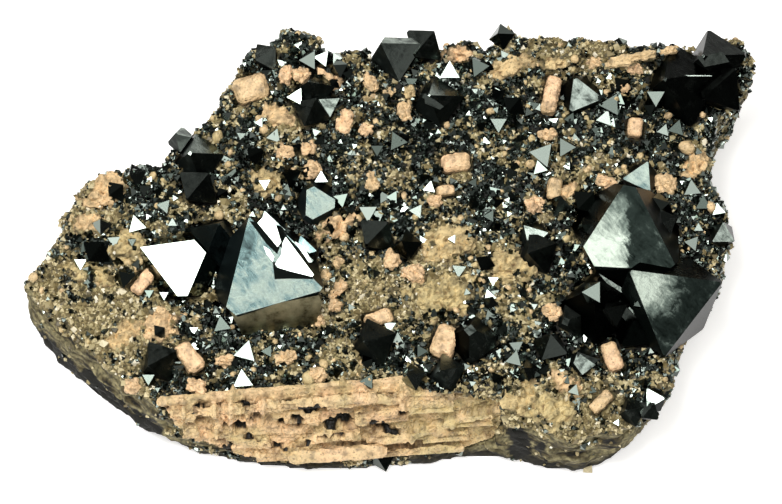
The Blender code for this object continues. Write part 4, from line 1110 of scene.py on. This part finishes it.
class SPECIMEN_OT_small_magnetite(bpy.types.Operator):
    """Sets the small magnetite crystals on the rock"""

    bl_idname = "specimen.small_magnetite"
    bl_label = "Small magnetite crystals"

    def execute(self, context):
        settings = context.scene.specimen_crystals
        crystals = self.placed() + self.scattered(settings.small_count)
        points = np.array([tuple(corner) for crystal in crystals for corner in crystal])
        faces = repeated_faces(OCTAHEDRON_FACES, len(crystals), len(OCTAHEDRON_POINTS))
        mesh = mesh_from_arrays("small_magnetite", points, faces)
        add_piece("small_magnetite", mesh, magnetite_material(settings, "magnetite_small", "grain"))
        return {"FINISHED"}

    def placed(self):
        """The crystals of the table, on the rock or on the crystal that is seen there."""
        crystals = []
        tree = crystals_tree()
        for across, down, edge, turn, facing in SMALL_MAGNETITE:
            place, _ = ground.seat(across, down)
            above, _ = seen_on(tree, across, down)
            if above is not None and above.z > place.z:
                place = above
            crystals.append(octahedron_at(place + TOWARD * (0.2 + 0.2 * edge), edge, turn, facing))
        return crystals

    def scattered(self, count):
        """Crystals about 1 mm across where magnetite outnumbers the sand."""
        crystals = []
        draw = random.Random(21)
        while len(crystals) < count:
            x, y, radius = draw.choice(DARK_PATCHES)
            across, down = draw.gauss(x, radius * 0.7), draw.gauss(y, radius * 0.7)
            place, _ = seen_on(ground.tree, across, down)
            if place is None or place.z < LOWEST_CRYSTAL:
                continue
            edge = draw.uniform(0.7, 1.7)
            facing = draw.choice(SCATTERED_FACINGS)
            middle = place + TOWARD * edge * draw.uniform(0.1, 0.4)
            crystals.append(octahedron_at(middle, edge, draw.uniform(0, 360), facing))
        return crystals


class SPECIMEN_OT_magnetite(bpy.types.Operator):
    """Finishes the large magnetite crystals"""

    bl_idname = "specimen.magnetite"
    bl_label = "Large magnetite crystals"

    def execute(self, context):
        settings = context.scene.specimen_crystals
        cloudy = magnetite_material(settings, "magnetite_face", "cloudy")
        finishes = {}
        for name, finish, painted_shade_gain, nodes in OTHER_FACES:
            finishes.update(dict.fromkeys(nodes, magnetite_material(settings, name, finish, painted_shade_gain)))
        for name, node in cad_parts.items():
            if name.startswith("magnetite"):
                node.data.materials.clear()
                node.data.materials.append(finishes.get(name, cloudy))
        # Etched steps and plate sides, and the sheet of painted shadow
        etched = magnetite_material(settings, "magnetite_etched_step_and_painted_shadow", "etched")
        dulled = magnetite_material(settings, "magnetite_dulled_side", "dulled")
        self.growth_layers((finishes["magnetite_mirror_left"], etched, dulled, cloudy))
        return {"FINISHED"}

    def growth_layers(self, materials):
        """Plates that grew in step on the large left-hand crystal, with a dark sheet of painted
        shadow among them, its lower side face, and narrow faces of other crystals."""
        tree = search_tree([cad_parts["magnetite_large_left"].data])
        seat, level = seen_on(tree, *STEPPED_FACE)
        layers = bmesh.new()
        for rise, is_clean, corners in GROWTH_LAYERS:
            normal = toward_plus(*FACINGS["flash"]) if is_clean else level
            anchor = self.on_plane(self.middle_of(corners), seat, level) + TOWARD * rise
            self.add_plate(layers, corners, anchor, normal, 1.3 + rise, CLEAN if is_clean else ETCHED)
        ends = [self.on_plane(corner, seat, level) for corner in SIDE_FACE[:2]]
        normal = Matrix.Rotation(SIDE_LEAN, 3, ends[1] - ends[0]) @ level
        self.add_plate(layers, SIDE_FACE, ends[0], normal, 1.0, DULLED)
        tree = crystals_tree()
        for facing, corners in NARROW_FACES:
            middle = self.middle_of(corners)
            anchor, _ = seen_on(tree, *middle)
            if anchor is None:
                anchor, _ = ground.seat(*middle)
            normal = toward_plus(*FACINGS[facing])
            self.add_plate(layers, corners, anchor + TOWARD * 0.2, normal, 0.5, CLOUDY)
        bmesh.ops.recalc_face_normals(layers, faces=layers.faces)
        finishes = [polygon.material_index for polygon in layers.faces]
        mesh = mesh_of(layers, "growth_layers")
        add_piece("growth_layers", mesh, materials[CLEAN])
        for material in materials[ETCHED:]:
            mesh.materials.append(material)
        mesh.polygons.foreach_set("material_index", finishes)

    def middle_of(self, corners):
        """The mean of a polygon's corners."""
        return sum((Vector(corner) for corner in corners), Vector((0, 0))) / len(corners)

    def on_plane(self, pixel, place, normal):
        """The point of a plane that is seen at a pixel."""
        start = sight_point(*pixel, FACE_HEIGHT)
        return start + TOWARD * (place - start).dot(normal) / TOWARD.dot(normal)

    def add_plate(self, layers, corners, anchor, normal, depth, front_material):
        """A plate whose front lies in a plane, with etched sides."""
        places = [self.on_plane(corner, anchor, normal) for corner in corners]
        front = [layers.verts.new(place * MM) for place in places]
        back = [layers.verts.new((place - TOWARD * depth) * MM) for place in places]
        layers.faces.new(front).material_index = front_material
        layers.faces.new(back).material_index = ETCHED
        for index in range(len(front)):
            ring = (front[index], front[index - 1], back[index - 1], back[index])
            layers.faces.new(ring).material_index = ETCHED


class SPECIMEN_OT_feldspar(bpy.types.Operator):
    """Sets the feldspar lumps and roughens the feldspar crystals"""

    bl_idname = "specimen.feldspar"
    bl_label = "Feldspar"

    def execute(self, context):
        settings = context.scene.specimen_feldspar
        material = feldspar_material(settings, "feldspar_crystal")
        self.crystals(settings, material)
        joined = bmesh.new()
        tints, hollows = [], []
        for index, row in enumerate(FELDSPAR_LUMPS):
            hollow = self.add_lump(joined, 3.1 * index, *row)
            tints += [row[-1]] * len(hollow)
            hollows += list(hollow)
        bmesh.ops.scale(joined, vec=(MM, MM, MM), verts=joined.verts)
        mesh = mesh_of(joined, "feldspar_lumps")
        paint(mesh, tint=np.array(tints), hollow=np.array(hollows))
        add_piece("feldspar_lumps", mesh, material)
        return {"FINISHED"}

    def crystals(self, settings, material):
        """The CAD's feldspar crystals with rough faces, joined."""
        nodes = [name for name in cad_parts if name.startswith("feldspar") and name != "feldspar_slab"]
        mesh = remeshed(nodes, "feldspar_crystals", settings.voxel)
        points, normals = mesh_points(mesh)
        knob = knobs(points, 1.2)
        push = 0.12 * (knob - 0.45) + 0.14 * noise_at(points, 1.8, 6) + 0.07 * noise_at(points, 0.4)
        set_mesh_points(mesh, points + normals * push[:, None])
        # Hollow, in the creases between knobs, is read as painted shade
        paint(mesh, tint=0.25 + 0.6 * noise_at(points, 5.0), hollow=0.42 - 2.0 * knob)
        piece = add_piece("feldspar_crystals", mesh, material)
        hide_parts(*nodes)

    def add_lump(self, joined, seed, across, down, length, width, height, turn, tint):
        """Adds a knobbly lump, boxy where pink and round where cream, and gives how hollow each
        of its points is, for painted shade in its creases."""
        place, normal = ground.seat(across, down)
        normal = normal.lerp(TOWARD, 0.6).normalized()
        along = RIGHT * math.cos(math.radians(turn)) + UPWARD * math.sin(math.radians(turn))
        along = (along - normal * along.dot(normal)).normalized()
        basis = Matrix((along, normal.cross(along), normal)).transposed().to_4x4()
        lump = bmesh.new()
        bmesh.ops.create_icosphere(lump, subdivisions=4, radius=1.0)
        points = np.array([tuple(vert.co) for vert in lump.verts])
        squareness = 3.6 - 1.6 * tint
        points /= (np.abs(points) ** squareness).sum(axis=1)[:, None] ** (1 / squareness)
        outward = points / np.linalg.norm(points, axis=1)[:, None]
        points *= np.array((length, width, height + LUMP_ROOT)) / 2
        knob = knobs(points, 0.8, seed)
        outline = noise_at(points, 1.6, seed + 9)
        push = 0.5 * (knob - 0.4) + 0.3 * width * outline + 0.15 * noise_at(points, 0.4, seed)
        points += outward * push[:, None]
        for vert, point in zip(lump.verts, points):
            vert.co = Vector(point)
        bmesh.ops.transform(lump, matrix=Matrix.Translation(place) @ basis, verts=lump.verts)
        mesh = mesh_of(lump, "lump")
        joined.from_mesh(mesh)
        bpy.data.meshes.remove(mesh)
        return 0.62 - 2.2 * knob


class SPECIMEN_OT_slab(bpy.types.Operator):
    """Builds the broken feldspar slab in the front wall"""

    bl_idname = "specimen.slab"
    bl_label = "Feldspar slab"

    def execute(self, context):
        settings = context.scene.specimen_feldspar
        mesh = remeshed(("feldspar_slab",), "slab_surface", settings.voxel)
        points, normals = mesh_points(mesh)
        across, down = pixels_of(points)
        right_part = np.clip((across - SLAB_STEP) / SLAB_STEP_WIDTH, 0.0, 1.0)
        ridges = segment_height(across, down, SLAB_RIDGES)
        ragged = noise_at(points, 0.9, 40)
        pits = segment_height(across + 4 * ragged, down + 3.5 * noise_at(points, 0.9, 44), SLAB_PITS)
        cells = noise_at(points * np.array((0.45, 1.0, 0.8)), 1.3, 4)
        plates = np.round(SLAB_PLATES * cells + 0.25 * ragged) / SLAB_PLATES
        rough = 0.35 * (knobs(points, 0.8) - 0.45) + (0.7 - 0.15 * right_part) * plates
        rough += 0.18 * noise_at(points, 0.4, 3)
        push = rough * (1 - 0.7 * np.clip(ridges, 0, 1)) + ridges + pits - 0.7 * right_part
        front = np.clip(1.5 * (normals @ np.array(TOWARD)) + 0.3, 0.0, 1.0)
        covered = np.clip((np.interp(across, *SLAB_EDGE) - down) / 2, 0.0, 1.0)
        push = np.where(covered > 0, -0.1, push)
        set_mesh_points(mesh, points + normals * (push * front)[:, None])
        # Sunk pits and low places are read as painted shade and painted shadow, ridges as less shade
        sunk = 1.9 * np.clip(-pits - 0.4, 0.0, 1.0)
        paint(
            mesh, hollow=0.15 - 0.95 * rough + sunk - 0.4 * ridges + covered,
            tint=0.55 + 0.3 * right_part + 0.6 * noise_at(points, 2.2),
        )
        piece = add_piece("slab_surface", mesh, feldspar_material(settings, "layered_feldspar"))
        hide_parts("feldspar_slab")
        return {"FINISHED"}


class SPECIMEN_OT_stage(bpy.types.Operator):
    """Adds the floor, the lights and the camera"""

    bl_idname = "specimen.stage"
    bl_label = "Stage"

    def execute(self, context):
        settings = context.scene.specimen_stage
        self.add_floor(settings)
        look = sight_point(PICTURE_SIZE[0] / 2, PICTURE_SIZE[1] / 2, FACE_HEIGHT) * MM
        for name, right, up, distance, radius in SOFT_BOXES:
            self.add_soft_box(name, look, toward_plus(right, up), distance, radius, getattr(settings, name))
        self.add_camera(look, settings.distance)
        self.add_world()
        context.scene.view_settings.view_transform = "Standard"
        return {"FINISHED"}

    def link(self, name, data):
        """Links an object to the scene."""
        made = bpy.data.objects.new(name, data)
        bpy.context.scene.collection.objects.link(made)
        return made

    def add_floor(self, settings):
        """A matt white board that glows a little, as one lit from all round does."""
        board = bmesh.new()
        bmesh.ops.create_grid(board, x_segments=1, y_segments=1, size=1.5)
        mesh = mesh_of(board, "floor")
        made, tree, shader = new_material("matt_white_board")
        set_inputs(tree, shader, {
            "Base Color": settings.floor, "Roughness": 0.9, "Emission Color": settings.floor,
            "Emission Strength": settings.backlight,
        })
        mesh.materials.append(made)
        floor = self.link("floor", mesh)

    def add_soft_box(self, name, look, direction, distance, radius, radiance):
        """A round soft box in a direction, this wide in degrees."""
        light = bpy.data.lights.new(name, "AREA")
        light.shape = "DISK"
        light.size = 2 * distance * math.tan(math.radians(radius))
        light.energy = radiance * math.pi * math.pi * (light.size / 2) ** 2
        self.aim(self.link(name, light), look, direction, distance)

    def aim(self, made, look, direction, distance):
        """Puts a light or the camera at a distance, facing the specimen."""
        made.location = look + direction * distance
        made.rotation_euler = direction.to_track_quat("Z", "Y").to_euler()

    def add_camera(self, look, distance):
        """A camera far off, so that the picture has one sight line."""
        camera = bpy.data.cameras.new("camera")
        camera.lens = camera.sensor_width * distance / (PICTURE_SIZE[0] * MM_PER_PIXEL * MM)
        camera.clip_end = 20
        holder = self.link("camera", camera)
        self.aim(holder, look, TOWARD, distance)
        bpy.context.scene.camera = holder

    def add_world(self):
        """A studio that is bright overhead and dark towards the horizon."""
        world = bpy.data.worlds.new("studio")
        world.use_nodes = True
        tree = world.node_tree
        direction = add_node(tree, "ShaderNodeTexCoord", output="Generated")
        height = add_node(tree, "ShaderNodeSeparateXYZ", {"Vector": direction}, output="Z")
        stops = [(0.35, grey(0.03)), (0.6, grey(0.22)), (0.9, grey(0.6))]
        glow = add_node(tree, "ShaderNodeValToRGB", {"Fac": height}, stops)
        set_inputs(tree, tree.nodes["Background"], {"Color": glow})
        bpy.context.scene.world = world


class SPECIMEN_PT_sidebar(bpy.types.Panel):
    """Lists the pieces of the specimen"""

    bl_idname = "SPECIMEN_PT_sidebar"
    bl_label = "Magnetite specimen"
    bl_space_type = "VIEW_3D"
    bl_region_type = "UI"
    bl_category = "Specimen"

    def draw(self, context):
        for group, settings, operators in GROUPS:
            for name in settings.__annotations__:
                self.layout.prop(getattr(context.scene, group), name)
            for operator in operators:
                self.layout.operator(operator.bl_idname)


GROUPS = (
    ("specimen_rock", RockSettings, (SPECIMEN_OT_rock,)),
    ("specimen_grains", GrainSettings, (SPECIMEN_OT_grains,)),
    ("specimen_crystals", CrystalSettings, (SPECIMEN_OT_small_magnetite, SPECIMEN_OT_magnetite)),
    ("specimen_feldspar", FeldsparSettings, (SPECIMEN_OT_feldspar, SPECIMEN_OT_slab)),
    ("specimen_stage", StageSettings, (SPECIMEN_OT_stage,)),
)


def register():
    for group, settings, operators in GROUPS:
        for cls in (settings, *operators):
            bpy.utils.register_class(cls)
        setattr(bpy.types.Scene, group, PointerProperty(type=settings))
    bpy.utils.register_class(SPECIMEN_PT_sidebar)


def unregister():
    bpy.utils.unregister_class(SPECIMEN_PT_sidebar)
    for group, settings, operators in reversed(GROUPS):
        delattr(bpy.types.Scene, group)
        for cls in (*operators, settings):
            bpy.utils.unregister_class(cls)


def main():
    register()
    bpy.ops.specimen.rock()
    bpy.ops.specimen.grains()
    bpy.ops.specimen.small_magnetite()
    bpy.ops.specimen.magnetite()
    bpy.ops.specimen.feldspar()
    bpy.ops.specimen.slab()
    bpy.ops.specimen.stage()


if __name__ == "__main__":
    main()
